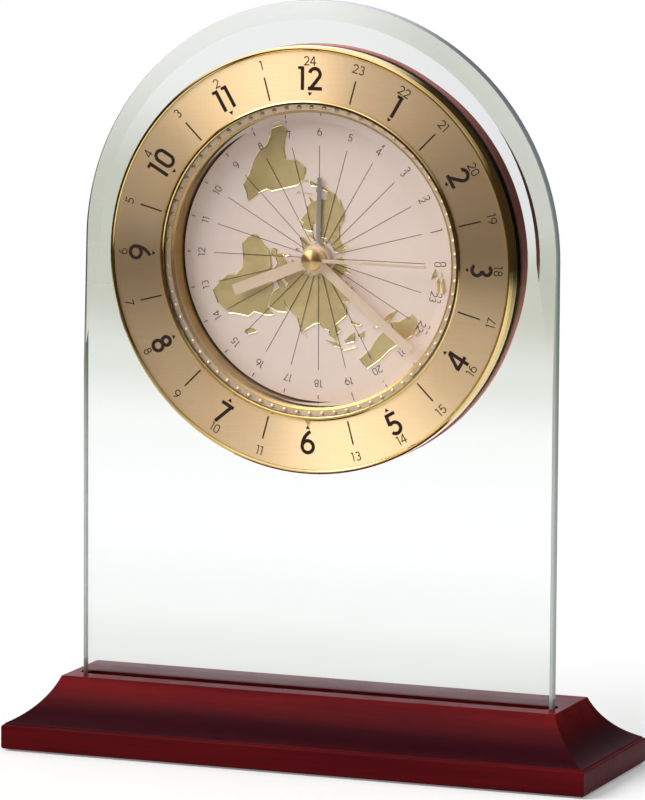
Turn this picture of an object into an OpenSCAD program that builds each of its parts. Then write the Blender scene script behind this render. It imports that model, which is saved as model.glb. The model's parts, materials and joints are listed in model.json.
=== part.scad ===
// World time clock: an arched glass panel in a moulded wood base, carrying a round brass insert
// with a fixed 24-hour ring, a turning map disc, four hands and a quartz alarm movement.
// Origin: bottom centre of the base. +Z up, the dial faces -Y, +X is to the right of the dial.
// Front faces therefore have the smaller Y.

/* [Base] */
// Overall width of the base, across the lip
base_w = 184; // [180:1:220]
// Overall depth of the base, across the lip
base_d = 57; // [50:1:90]
// Height of the base without the felt that shows under it
base_h = 21; // [18:0.5:30]
// Height of the square lip round the foot of the base
lip_h = 7.4; // [4:0.2:8]
// How far the moulding steps in from the lip, at each side
mould_in = 13.8; // [10:0.2:14.4]
// Radius of the hollow in the moulding
cove_r = 25; // [22:0.5:60]
// Rounding of the top edge of the base
shoulder_r = 1.6; // [0.6:0.1:2]
// Rounding of the edges of the lip
lip_round = 0.8; // [0.3:0.1:1.5]
// Thickness of the felt under the base
felt_t = 1.2; // [0.8:0.1:2]
// How far the felt shows below the wood
felt_show = 0.5; // [0.3:0.1:0.6]
// Distance from the edge of the base to the felt
felt_margin = 5; // [3:0.5:10]

/* [Glass] */
// Half of the width of the glass, and the radius of its arch
glass_r = 74; // [72:0.5:75]
// Thickness of the glass
glass_t = 5.6; // [4:0.2:6]
// Height of the centre of the arch above the base's underside
arch_z = 152.2; // [147:0.2:170]
// Distance from the middle of the base forward to the middle of the glass
glass_fwd = 5; // [3:0.5:6]
// Width of the ground bevel round the front of the arch
bevel_w = 5.4; // [2:0.2:6]
// Depth of the ground bevel
bevel_d = 1.8; // [0.8:0.1:2.4]
// Length over which the bevel runs out below the arch
bevel_run = 36; // [10:1:45]
// Depth of the slot in the base
slot_depth = 13; // [8:0.5:15]
// Width of the slot in the base
slot_w = 7; // [6.8:0.1:8]
// Thickness of the clear bedding under the glass
bed_t = 0.6; // [0.4:0.1:1.5]

/* [Dial] */
// Height of the middle of the dial
dial_z = 150.3; // [148:0.1:152]
// Outer radius of the brass bezel
bezel_r = 63; // [62.5:0.1:66]
// Width of the polished rim of the bezel
rim_w = 1.15; // [0.8:0.05:1.6]
// How far the face of the hour ring stands in front of the glass
ring_proud = 5.6; // [4.4:0.1:6.4]
// How far the polished rim stands in front of the hour ring
rim_proud = 0.5; // [0.2:0.1:0.8]
// Thickness of the hour ring
ring_t = 0.8; // [0.5:0.1:1.2]
// Inner radius of the hour ring
ring_in_r = 47.2; // [47:0.1:49]
// Depth of the map disc behind the face of the hour ring
disc_depth = 9.2; // [8.8:0.1:10.2]
// Radius of the map disc
disc_r = 42.6; // [40:0.1:42.9]
// Thickness of the map disc
disc_t = 0.8; // [0.5:0.1:1]
// Height of the raised land on the map disc
relief_t = 0.3; // [0.1:0.05:0.35]
// Thickness of the crystal at its edge
crystal_t = 1.4; // [0.8:0.1:1.6]
// Width of the bevel round the crystal
crystal_bevel = 4.9; // [2:0.1:8]
// Height of the flat face of the crystal above its edge
crystal_rise = 1.2; // [0.4:0.1:2]
// Number of beads in the ring round the map disc
bead_n = 72; // [24:1:80]
// Radius of one bead
bead_r = 0.75; // [0.4:0.05:0.8]

/* [Hands] */
// Length of the hour hand from its axis
hour_len = 28; // [15:0.5:34]
// Width of the hour hand
hour_w = 3.3; // [1:0.1:4]
// Length of the minute hand from its axis
minute_len = 39.6; // [20:0.2:42]
// Width of the minute hand
minute_w = 2.9; // [1:0.1:4]
// Length of the second hand from its axis
second_len = 35.8; // [20:0.2:40]
// Width of the second hand
second_w = 1.1; // [0.5:0.1:2]
// Length of the alarm hand from its axis
alarm_len = 23.8; // [12:0.2:34]
// Width of the alarm hand
alarm_w = 1.3; // [0.8:0.1:3]
// Thickness of the blades of the hands
blade_t = 0.28; // [0.2:0.02:0.4]
// Radius of the round hubs of the second and minute hands
hub_r = 3.1; // [3:0.1:4]
// Radius of the round hubs of the hour and alarm hands
hub_back_r = 4.3; // [3:0.1:4.6]
// Clock angle of the hour hand at rest, from 12 o'clock
hour_angle = 248; // [0:1:360]
// Clock angle of the minute hand at rest
minute_angle = 130; // [0:1:360]
// Clock angle of the second hand at rest
second_angle = 90.5; // [0:0.5:360]
// Clock angle of the alarm hand at rest
alarm_angle = 1; // [0:1:360]

/* [Insert] */
// How far the bezel laps over the insert case that passes through the glass
bezel_lap = 4.6; // [4:0.1:6]
// Wall of the insert case
case_wall = 2; // [1.2:0.1:3]
// Thickness of the back of the insert case
case_back_t = 2; // [1.5:0.1:3]
// Thickness of the soft rings in front of and behind the glass
gasket_t = 0.4; // [0.2:0.1:0.8]
// How far the clamp ring laps over the glass behind
clamp_lap = 4.6; // [3.6:0.1:7]
// Thickness of the rim of the clamp ring
clamp_t = 3.2; // [2:0.1:4]
// Depth of the clamp ring's drum behind the glass
drum_depth = 14.2; // [8:0.2:18]
// Wall of that drum
drum_wall = 1.4; // [1:0.1:2]

/* [Movement] */
// Width of the movement
move_w = 62; // [60:1:68]
// Height of the movement above the dial's axis
move_up = 27; // [27:1:30]
// Wall of the movement case
move_wall = 1.2; // [1:0.1:1.6]
// Thickness of the front plate of the movement
plate_t = 1.5; // [1.2:0.1:2.5]
// Thickness of a gear wheel
wheel_t = 0.8; // [0.5:0.05:0.85]
// Distance from one gear level to the next
level = 1.1; // [1.1:0.05:1.2]
// Thickness of the bridge behind the wheels
bridge_t = 1.2; // [0.8:0.1:1.4]
// Diameter of the battery
battery_d = 14.2; // [13.5:0.1:14.4]
// Length of the battery without its button
battery_len = 49; // [44:0.5:50]
// Radius of the setting knobs
knob_r = 5.6; // [4:0.1:6]
// Height of the setting knobs
knob_h = 4.2; // [3:0.1:8]
// Travel of the alarm switch
switch_travel = 3; // [2:0.1:4]

/* [Hidden] */

fine = 96;
eps = 0.01;
run = 0.06;
fit = 0.02;

// Heights of the base
wood_z0 = felt_show;
wood_z1 = felt_show + base_h;
lip_z = wood_z0 + lip_h;
slot_z = wood_z1 - slot_depth;

// Radii of the insert case and of the clamp ring behind it
case_r = bezel_r - bezel_lap;
clamp_r = case_r + clamp_lap;

// Depths of the glass, front and back
glass_y0 = -glass_fwd - glass_t / 2;
glass_y1 = -glass_fwd + glass_t / 2;
glass_clear = 0.2;
glass_hole_r = case_r + 0.5;
slot_end_r = slot_w / 2;

// Depths of the dial, from front to back
ring_y = glass_y0 - ring_proud;
seat_y = ring_y + ring_t;
bezel_y1 = glass_y0 - gasket_t;
disc_y = ring_y + disc_depth;
disc_y1 = disc_y + disc_t;

// Radii of the seats round the crystal
rim_in_r = bezel_r - rim_w;
trim_in_r = ring_in_r - 1.2;
crystal_r = ring_in_r - 0.6;
bead_out_r = ring_in_r - 1.4;
bead_in_r = ring_in_r - 3.1;
well_r = disc_r + 0.5;
crystal_seat_y = ring_y + 1.6;
bead_seat_y = crystal_seat_y + bead_r + 0.15;
well_lip_y = bead_seat_y + 0.6;

// Depths of the insert case and of the movement behind it
case_y0 = seat_y;
case_back_y0 = glass_y1 + 3.8;
case_y1 = case_back_y0 + case_back_t;
gasket_y0 = glass_y1;
clamp_y0 = glass_y1 + gasket_t;
clamp_flange_t = 1.2;
drum_y1 = glass_y1 + drum_depth;
plate_y0 = case_y1;
plate_y1 = plate_y0 + plate_t;
wheel_y0 = plate_y1 + 0.5;
bridge_y0 = wheel_y0 + 9 * level + 0.1;
bridge_y1 = bridge_y0 + bridge_t;
board_y0 = bridge_y1 + 0.9;
board_t = 0.8;
cover_in_y = max(plate_y1 + battery_d + 0.5, bridge_y1 + board_t + 2.2);
cover_y1 = cover_in_y + move_wall;
move_down = 19 + battery_d + 2;
battery_z = -18.7 - battery_d / 2;
battery_y = plate_y1 + 0.2 + battery_d / 2;
corner_r = 4;

// Depths of the hubs of the hands, front face then back face
alarm_hub = [disc_y - 1.6, disc_y - relief_t - 0.1];
hour_hub = [disc_y - 3.2, disc_y - 1.75];
minute_hub = [disc_y - 4.8, disc_y - 3.35];
second_hub = [disc_y - 6.7, disc_y - 4.95];

// Radii of the concentric arbors, from the inside out
arbor_r = 0.45;
pipe_wall = 0.63;
cannon_bore = arbor_r + run;
cannon_r = cannon_bore + pipe_wall;
hour_bore = cannon_r + run;
hour_r = hour_bore + pipe_wall;
alarm_bore = hour_r + run;
alarm_r = alarm_bore + pipe_wall - 0.03;
day_bore = alarm_r + run;
day_r = day_bore + pipe_wall;
bush_bore = day_r + run;
bush_r = bush_bore + 1.2;

// Numbers of teeth
z_cannon = 12;
z_minute = 36;
z_minute_p = 10;
z_hour = 40;
z_hour_p = 18;
z_idler = 27;
z_idler_p = 24;
z_reverse = 14;
z_day = 32;
z_centre = 64;
z_third_p = 8;
z_third = 60;
z_second_p = 8;
z_second = 40;
z_inter_p = 8;
z_inter = 48;
z_rotor_p = 8;
z_alarm = 30;
z_alarm_p = 15;
z_time_p = 12;

// Modules of the meshes
m_motion = 0.3;
m_hour = m_motion * (z_cannon + z_minute) / (z_hour + z_minute_p);
m_idler = 0.42;
m_day = 0.3;
m_centre = 0.22;
m_third = m_centre * (z_centre + z_third_p) / (z_third + z_second_p);
m_second = 0.25;
m_inter = 0.2;
m_alarm = 0.4;

// Angles, anticlockwise from +X as seen from the front, from one axis to the next
a_minute = 270;
a_idler = 135;
a_third = 180;
a_inter = 40;
a_rotor = 0;
a_alarm = -30;
a_time = 210;

function at(angle, distance) = [distance * cos(angle), distance * sin(angle)];
function gear_distance(m, a, b) = m * (a + b) / 2;

// Places of the axes, in the plane of the dial
minute_at = at(a_minute, gear_distance(m_motion, z_cannon, z_minute));
idler_d = gear_distance(m_idler, z_hour_p, z_idler);
idler_at = at(a_idler, idler_d);
reverse_d = gear_distance(m_day, z_day, z_reverse);
idler_reverse_d = gear_distance(m_day, z_idler_p, z_reverse);
reverse_turn = acos((reverse_d * reverse_d + idler_d * idler_d - idler_reverse_d * idler_reverse_d)
    / (2 * reverse_d * idler_d));
a_reverse = a_idler - reverse_turn;
reverse_at = at(a_reverse, reverse_d);
third_at = at(a_third, gear_distance(m_centre, z_centre, z_third_p));
inter_at = at(a_inter, gear_distance(m_second, z_second, z_inter_p));
rotor_at = inter_at + at(a_rotor, gear_distance(m_inter, z_inter, z_rotor_p));
alarm_at = at(a_alarm, gear_distance(m_alarm, z_alarm, z_alarm_p));
time_at = minute_at + at(a_time, gear_distance(m_motion, z_minute, z_time_p));

// Angle from one point of the dial's plane to another
function heading(from, to) = atan2(to[1] - from[1], to[0] - from[0]);

// Turn of a gear B that meshes with gear A, turned by turn_a, at the heading h from A to B
function mesh(h, za, zb, turn_a) = h + 180 + (180 - za * (turn_a - h)) / zb;

// Turns of the gears at rest, so that each tooth stands in a gap
t_minute = mesh(a_minute, z_cannon, z_minute, 0);
t_hour = mesh(a_minute + 180, z_minute_p, z_hour, t_minute);
t_idler = mesh(a_idler, z_hour_p, z_idler, t_hour);
t_reverse = mesh(heading(idler_at, reverse_at), z_idler_p, z_reverse, t_idler);
t_day = mesh(heading(reverse_at, [0, 0]), z_reverse, z_day, t_reverse);
t_third = mesh(a_third, z_centre, z_third_p, 0);
t_second = mesh(a_third + 180, z_third, z_second_p, t_third);
t_inter = mesh(a_inter, z_second, z_inter_p, t_second);
t_rotor = mesh(a_rotor, z_inter, z_rotor_p, t_inter);
t_alarm_p = mesh(a_alarm, z_alarm, z_alarm_p, 0);
t_time_p = mesh(a_time, z_minute, z_time_p, t_minute);

// Depth of the front of gear level n
function level_y(n) = wheel_y0 + n * level;

// A thick plate from depth y to depth y + t, drawn in X and Z round the dial's axis
module plate(y, t) {
    translate([0, y + t, dial_z])
        rotate([90, 0, 0])
            linear_extrude(t)
                children();
}

// A turned piece round the dial's axis, drawn as [radius, depth] points
module turned(points) {
    translate([0, 0, dial_z])
        rotate([-90, 0, 0])
            rotate_extrude($fn = fine)
                polygon(points);
}

// A rod along Y at a place in the dial's plane, between two depths
module rod(place, y0, y1, r) {
    translate([place[0], y0, dial_z + place[1]])
        rotate([-90, 0, 0])
            cylinder(r = r, h = y1 - y0, $fn = fine);
}

// A box from a low corner [x, y, z] with a size, round the dial's axis
module block(low, size) {
    translate([low[0], low[1], dial_z + low[2]])
        cube(size);
}

// A rectangle with round corners, as an exact union of squares and circles
module round_rect(x0, z0, x1, z1, r) {
    translate([x0 + r, z0])
        square([x1 - x0 - 2 * r, z1 - z0]);
    translate([x0, z0 + r])
        square([x1 - x0, z1 - z0 - 2 * r]);
    for (x = [x0 + r, x1 - r], z = [z0 + r, z1 - r])
        translate([x, z])
            circle(r = r, $fn = fine);
}

// Outline of a gear with flat flanks
tip_share = 0.11;
pitch_share = 0.205;
root_share = 0.23;
function tooth(n, z, m, turn, tall) = let (
    a = 360 / z,
    c = turn + n * a,
    r = m * z / 2,
    ra = r + tall * m,
    rr = r - 1.2 * m
) [at(c - root_share * a, rr), at(c - pitch_share * a, r), at(c - tip_share * a, ra),
    at(c + tip_share * a, ra), at(c + pitch_share * a, r), at(c + root_share * a, rr)];

module gear_flat(z, m, turn, tall = 0.8) {
    polygon([for (n = [0:z - 1]) each tooth(n, z, m, turn, tall)]);
}

// A gear on level n, not yet drilled
module gear_blank(place, n, z, m, turn, tall = 0.8) {
    plate(level_y(n), wheel_t)
        translate(place)
            gear_flat(z, m, turn, tall);
}

// A gear on level n, drilled for its arbor
module gear(place, n, z, m, turn, bore, tall = 0.8) {
    difference() {
        gear_blank(place, n, z, m, turn, tall);
        rod(place, level_y(n) - 1, level_y(n) + wheel_t + 1, bore);
    }
}

// A tube along the dial's axis
module pipe(y0, y1, outer, bore) {
    difference() {
        rod([0, 0], y0, y1, outer);
        rod([0, 0], y0 - 1, y1 + 1, bore);
    }
}

// Side view of the moulding, from the middle of the base outward, half of the width given
module mould_half(half) {
    top = half - mould_in;
    drop = base_h - lip_h;
    chord = norm([mould_in, drop]);
    mid = [top + mould_in / 2, wood_z1 - drop / 2];
    toward = [drop, mould_in] / chord;
    centre = mid + toward * sqrt(cove_r * cove_r - chord * chord / 4);
    r = shoulder_r;
    difference() {
        union() {
            translate([-eps, wood_z0 + lip_round])
                square([half + eps, lip_h - 2 * lip_round]);
            translate([-eps, wood_z0])
                square([half - lip_round + eps, base_h]);
            for (z = [wood_z0 + lip_round, lip_z - lip_round])
                translate([half - lip_round, z])
                    circle(r = lip_round, $fn = fine);
        }
        translate(centre)
            circle(r = cove_r, $fn = 240);
        translate([half - lip_round, lip_z])
            square([lip_round + 1, drop + 1]);
        // Rounding of the top edge, cut by a corner less a circle
        difference() {
            translate([top - r, wood_z1 - r])
                square([r * 2, r + 1]);
            translate([top - r, wood_z1 - r])
                circle(r = r, $fn = fine);
            translate([top - 2 * r, wood_z1 - r - 1])
                square([r, r + 1]);
        }
    }
}

module mould_profile(half) {
    mould_half(half);
    mirror([1, 0])
        mould_half(half);
}

glass_foot = slot_z + bed_t;

// Slot in the base, from a given height up
module slot_shape(z, clear) {
    half = glass_r + glass_clear - sqrt(slot_end_r * slot_end_r - glass_t * glass_t / 4);
    translate([0, -glass_fwd, z])
        linear_extrude(wood_z1 - z + 1)
            for (s = [-1, 1]) {
                translate([s * half, 0])
                    circle(r = slot_end_r - clear, $fn = fine);
                translate([min(0, s * half), -slot_end_r + clear])
                    square([half, slot_w - 2 * clear]);
            }
}

module wood_base() {
    color([0.36, 0.08, 0.08])
        difference() {
            intersection() {
                translate([0, base_d / 2, 0])
                    rotate([90, 0, 0])
                        linear_extrude(base_d)
                            mould_profile(base_w / 2);
                translate([-base_w / 2, 0, 0])
                    rotate([90, 0, 90])
                        linear_extrude(base_w)
                            mould_profile(base_d / 2);
            }
            slot_shape(slot_z, 0);
            translate([-base_w / 2 + felt_margin, -base_d / 2 + felt_margin, -1])
                cube([base_w - 2 * felt_margin, base_d - 2 * felt_margin, 1 + felt_t]);
        }
}

module base_felt() {
    color([0.08, 0.12, 0.09])
        translate([-base_w / 2 + felt_margin + glass_clear, -base_d / 2 + felt_margin + glass_clear, 0])
            cube([base_w - 2 * (felt_margin + glass_clear), base_d - 2 * (felt_margin + glass_clear), felt_t]);
}

module slot_bed() {
    color([0.8, 0.82, 0.84])
        translate([-glass_r, -glass_fwd - glass_t / 2, slot_z])
            cube([2 * glass_r, glass_t, bed_t]);
}

// Cutter for the bevel round the arch: a cone whose middle is the arch's
module bevel_cutter() {
    translate([0, glass_y0, arch_z])
        rotate([-90, 0, 0])
            rotate_extrude($fn = 240)
                polygon([[glass_r - bevel_w, -1], [glass_r - bevel_w, 0],
                    [glass_r + bevel_w, 2 * bevel_d], [glass_r + bevel_w, -1]]);
}

// Cutter where the bevel runs out down a straight side: one flat from the arch's bevel to the arris
module bevel_run_out() {
    polyhedron(
        points = [[glass_r - 2 * bevel_w, glass_y0 - bevel_d, arch_z],
            [glass_r + bevel_w, glass_y0 + 2 * bevel_d, arch_z],
            [glass_r + bevel_w / 10, glass_y0 - bevel_d / 10, arch_z - 1.2 * bevel_run],
            [glass_r + 3 * bevel_w, glass_y0 - 3 * bevel_d, arch_z]],
        faces = [[2, 1, 0], [1, 3, 0], [2, 3, 1], [3, 2, 0]]);
}

module glass_arch() {
    intersection() {
        difference() {
            translate([0, glass_y0, arch_z])
                rotate([-90, 0, 0])
                    cylinder(r = glass_r, h = glass_t, $fn = 240);
            bevel_cutter();
        }
        translate([-glass_r - 5, glass_y0 - 5, arch_z])
            cube([2 * glass_r + 10, glass_t + 10, glass_r + 5]);
    }
}

module glass_leg() {
    difference() {
        translate([-glass_r, glass_y0, glass_foot])
            cube([2 * glass_r, glass_t, arch_z - glass_foot]);
        bevel_run_out();
        mirror([1, 0, 0])
            bevel_run_out();
    }
}

module glass_panel() {
    color([0.78, 0.88, 0.84, 0.35])
        difference() {
            union() {
                glass_arch();
                glass_leg();
            }
            rod([0, 0], glass_y0 - 1, glass_y1 + 1, glass_hole_r);
        }
}

module bezel() {
    bore = case_r + 0.1;
    front = ring_y - rim_proud;
    color([0.85, 0.66, 0.3])
        turned([[bore, seat_y], [rim_in_r, seat_y], [rim_in_r, front + 0.3], [rim_in_r + 0.3, front],
            [bezel_r - 0.5, front], [bezel_r, front + 0.5], [bezel_r, front + 0.9],
            [bezel_r - 0.35, front + 1.15], [bezel_r - 0.35, front + 1.5], [bezel_r, front + 1.8],
            [bezel_r, bezel_y1 - 0.3], [bezel_r - 0.3, bezel_y1], [bore, bezel_y1]]);
}

module bezel_gasket() {
    color([0.12, 0.12, 0.12])
        turned([[glass_hole_r + 0.4, bezel_y1], [bezel_r - 0.6, bezel_y1], [bezel_r - 0.6, glass_y0],
            [glass_hole_r + 0.4, glass_y0]]);
}

module hour_ring() {
    outer = rim_in_r - 0.1;
    color([0.87, 0.74, 0.54])
        turned([[ring_in_r, ring_y], [outer, ring_y], [outer, seat_y], [ring_in_r, seat_y]]);
}

// Straight stroke of a numeral, from p to q
module stroke(p, q, w) {
    side = [p[1] - q[1], q[0] - p[0]] / norm(q - p) * w / 2;
    polygon([p + side, q + side, q - side, p - side]);
}

// Round stroke of a numeral: part of a ring about c, between two angles, r to its middle line
module bow(c, r, w, from, to) {
    reach = 2 * r + w;
    step = (to - from) / 4;
    translate(c)
        intersection() {
            difference() {
                circle(r = r + w / 2, $fn = fine);
                circle(r = r - w / 2, $fn = fine);
            }
            polygon(concat([[0, 0]], [for (n = [0:4]) at(from + n * step, reach)]));
        }
}

module loop(c, r, w) {
    translate(c)
        difference() {
            circle(r = r + w / 2, $fn = fine);
            circle(r = r - w / 2, $fn = fine);
        }
}

// Upright oval of a numeral, with round ends of radius r
module pill(r) {
    for (z = [3.1, 6.9])
        translate([0, z])
            circle(r = r, $fn = fine);
    translate([-r, 3.1])
        square([2 * r, 3.8]);
}

// Plain numerals, 10 high, on the baseline and centred, with a stroke w
module numeral(n, w) {
    h = w / 2;
    if (n == 0) {
        difference() {
            pill(3.1);
            pill(3.1 - w);
        }
    } else if (n == 1) {
        stroke([0.4, 0], [0.4, 10], w);
        stroke([-1.6, 9.4], [0.5, 9.4], 1.2);
    } else if (n == 2) {
        bow([0, 6.9], 3.1 - h, w, -40, 168);
        stroke([0, 6.9] + at(-38, 3.1 - h), [-2.1, 0.6], w);
        stroke([-3.2, h], [3.2, h], w);
    } else if (n == 3) {
        bow([0, 7.35], 2.65 - h, w, -90, 150);
        bow([0, 2.95], 2.95 - h, w, -150, 90);
    } else if (n == 4) {
        stroke([1.3, 0], [1.3, 10], w);
        stroke([-3.5, 2.9], [3.4, 2.9], w);
        stroke([0.9, 9.7], [-3.0, 3.1], w);
    } else if (n == 5) {
        stroke([-1.9, 10 - h], [2.7, 10 - h], w);
        stroke([-1.35, 9.8], [-1.9, 4.9], w);
        bow([-0.1, 3.2], 3.2 - h, w, -150, 130);
    } else if (n == 6) {
        loop([0, 3.3], 3.3 - h, w);
        bow([7.7 - 3.3 + h, 3.3], 7.7, w, 121, 180);
    } else if (n == 7) {
        stroke([-2.9, 10 - h], [3.1, 10 - h], w);
        stroke([2.1, 9.6], [-1.5, 0], w);
    } else if (n == 8) {
        loop([0, 7.4], 2.6 - h, w);
        loop([0, 3], 3 - h, w);
    } else if (n == 9) {
        translate([0, 10])
            rotate(180)
                numeral(6, w);
    }
}

// A number of one or two digits, its middle at the origin, tall high
function cell(n) = n == 1 ? 4.6 : 7.5;
module number(value, tall, w) {
    tens = floor(value / 10);
    ones = value % 10;
    wide = value > 9 ? cell(tens) + cell(ones) : cell(ones);
    scale(tall / 10) {
        translate([wide / 2 - cell(ones) / 2, -5])
            numeral(ones, w);
        if (value > 9)
            translate([cell(tens) / 2 - wide / 2, -5])
                numeral(tens, w);
    }
}

// A number at a clock angle, its top turned outward, or to the middle on the lower half
module ring_number(value, tall, w, angle, r, upright) {
    rotate(-angle)
        translate([0, r])
            rotate(upright ? 0 : 180)
                number(value, tall, w);
}

// Printed on the hour ring: hours, a wedge inside each, bars at the half hours, and 24 hours
// that run the other way round. The place at the foot, where the 12 of the 24 would be, is bare.
mark_t = 0.06;
ring_band = rim_in_r - ring_in_r;
hour_tall = ring_band * 0.47;
day_tall = ring_band * 0.184;
bar_r0 = ring_in_r + ring_band * 0.07;
bar_r1 = bar_r0 + ring_band * 0.48;
bar_w = ring_band * 0.029;
wedge_r = ring_in_r + ring_band * 0.095;
wedge_h = ring_band * 0.07;
wedge_w = ring_band * 0.09;
hour_r_mid = wedge_r + wedge_h + ring_band * 0.045 + hour_tall / 2;
day_r_mid = hour_r_mid + hour_tall / 2 + ring_band * 0.024 + day_tall / 2;
module hour_marks() {
    color([0.06, 0.04, 0.03])
        plate(ring_y - mark_t, mark_t) {
            for (h = [1:12]) {
                rotate(-h * 30)
                    polygon([[0, wedge_r], [wedge_w / 2, wedge_r + wedge_h], [-wedge_w / 2, wedge_r + wedge_h]]);
                rotate(-h * 30 - 15)
                    translate([-bar_w / 2, bar_r0])
                        square([bar_w, bar_r1 - bar_r0]);
                ring_number(h, hour_tall, 1.5, h * 30, hour_r_mid, h < 4 || h > 8);
            }
            for (h = [1:24])
                if (h != 12)
                    ring_number(h, day_tall, 1, (24 - h) * 15, day_r_mid, h < 7 || h > 17);
        }
}

// Front of the bevel of the crystal at a distance r from its middle
crystal_edge_y = crystal_seat_y - crystal_t;
function crystal_y(r) = crystal_edge_y - crystal_rise * (crystal_r - r) / crystal_bevel;

// Thin polished ring that holds the crystal, with a small pointer at its foot
module trim_ring() {
    front = ring_y - 0.5;
    lens_y = crystal_y(trim_in_r) - fit;
    color([0.9, 0.74, 0.36]) {
        turned([[trim_in_r, lens_y], [trim_in_r, front + 0.25], [trim_in_r + 0.25, front],
            [ring_in_r - 0.4, front], [ring_in_r - 0.05, front + 0.3], [ring_in_r - 0.05, seat_y],
            [crystal_r + 0.1, seat_y], [crystal_r + 0.1, lens_y]]);
        plate(ring_y - 0.3, 0.3)
            polygon([[-1, -ring_in_r + 0.2], [1, -ring_in_r + 0.2], [0, -ring_in_r - 1.3]]);
    }
}

module bead_ring() {
    mid = (bead_in_r + bead_out_r) / 2;
    color([0.8, 0.68, 0.42])
        union() {
            turned([[bead_in_r, bead_seat_y - 0.35], [bead_out_r - 0.05, bead_seat_y - 0.35],
                [bead_out_r - 0.05, bead_seat_y], [bead_in_r, bead_seat_y]]);
            for (n = [0:bead_n - 1])
                intersection() {
                    translate([0, bead_seat_y - 0.1, dial_z])
                        rotate([0, n * 360 / bead_n, 0])
                            translate([mid, 0, 0])
                                sphere(r = bead_r, $fn = 24);
                    rod([0, 0], bead_seat_y - 2, bead_seat_y, bead_out_r);
                }
        }
}

// Flat crystal with a bevelled margin
module crystal() {
    front = crystal_edge_y - crystal_rise;
    color([0.92, 0.94, 0.95, 0.3])
        turned([[0, front], [crystal_r - crystal_bevel, front], [crystal_r, crystal_edge_y],
            [crystal_r, crystal_seat_y], [0, crystal_seat_y]]);
}

// Brass well round the map disc, with the seats for the beads, the crystal and the hour ring
module dial_well() {
    outer = ring_in_r + 2;
    color([0.7, 0.55, 0.33])
        turned([[well_r, case_back_y0], [well_r, well_lip_y], [bead_in_r - 0.15, bead_seat_y],
            [bead_out_r, bead_seat_y], [bead_out_r, crystal_seat_y], [crystal_r + 0.1, crystal_seat_y],
            [crystal_r + 0.1, seat_y], [outer, seat_y], [outer, seat_y + 1.2],
            [well_r + 1.5, well_lip_y + 1.6], [well_r + 1.5, case_back_y0]]);
}

// Places of the four clamp screws, and of the four lugs that take them
clamp_screw_r = case_r - 4;
module clamp_holes(r) {
    for (n = [0:3])
        rotate(45 + 90 * n)
            translate([clamp_screw_r, 0])
                circle(r = r, $fn = fine);
}

module insert_case() {
    color([0.2, 0.13, 0.11])
        difference() {
            union() {
                turned([[case_r - case_wall, case_y0], [case_r, case_y0], [case_r, case_y1], [0, case_y1],
                    [0, case_back_y0], [case_r - case_wall, case_back_y0]]);
                plate(case_back_y0 - 4, 4 + eps)
                    clamp_holes(2.2);
            }
            rod([0, 0], case_back_y0 - 1, case_y1 + 1, bush_r + 0.1);
            plate(case_y1 - 5, 5 + 1)
                clamp_holes(0.9);
        }
}

module rear_gasket() {
    color([0.12, 0.12, 0.12])
        turned([[glass_hole_r + 0.4, gasket_y0], [clamp_r - 0.6, gasket_y0], [clamp_r - 0.6, clamp_y0],
            [glass_hole_r + 0.4, clamp_y0]]);
}

// Ring that clamps the glass from behind, with a drum round the back of the case and the movement
module clamp_ring() {
    bore = case_r + 0.1;
    drum_r = bore + drum_wall;
    flange_in = clamp_screw_r - 3;
    color([0.45, 0.25, 0.2])
        difference() {
            turned([[bore, clamp_y0], [clamp_r - 0.4, clamp_y0], [clamp_r, clamp_y0 + 0.4],
                [clamp_r, clamp_y0 + clamp_t - 0.8], [clamp_r - 0.8, clamp_y0 + clamp_t],
                [drum_r, clamp_y0 + clamp_t], [drum_r, drum_y1 - 0.5], [drum_r - 0.5, drum_y1],
                [bore, drum_y1], [bore, case_y1 + clamp_flange_t], [flange_in, case_y1 + clamp_flange_t],
                [flange_in, case_y1], [bore, case_y1]]);
            plate(case_y1 - 1, clamp_flange_t + 2)
                clamp_holes(1.3);
        }
}

// A pan-head screw pointing forward, its head resting at depth y, seen from behind
module screw_at(place, y, shank_r, shank_len, head_r, head_h) {
    difference() {
        union() {
            rod(place, y, y + head_h, head_r);
            rod(place, y - shank_len, y + eps, shank_r);
        }
        for (turn = [0, 90])
            translate([place[0], y + head_h / 2, dial_z + place[1]])
                rotate([0, turn, 0])
                    translate([-head_r * 0.6, 0, -0.2])
                        cube([head_r * 1.2, head_h, 0.4]);
    }
}

module clamp_screws() {
    color([0.75, 0.75, 0.78])
        for (n = [0:3])
            screw_at(at(45 + 90 * n, clamp_screw_r), case_y1 + clamp_flange_t, 0.9 - fit, 4.4, 2, 1.2);
}

module map_disc() {
    color([0.82, 0.75, 0.7])
        plate(disc_y, disc_t)
            difference() {
                circle(r = disc_r, $fn = 240);
                circle(r = day_r + fit, $fn = fine);
            }
}

// Polar map: distance from the pole in degrees sets the radius, longitude sets the angle.
// East runs anticlockwise, and the zero meridian starts at 9 o'clock.
degree = (disc_r - 0.8) / 147;
function mapped(p) = at(180 + p[0], (90 - p[1]) * degree);

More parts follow.
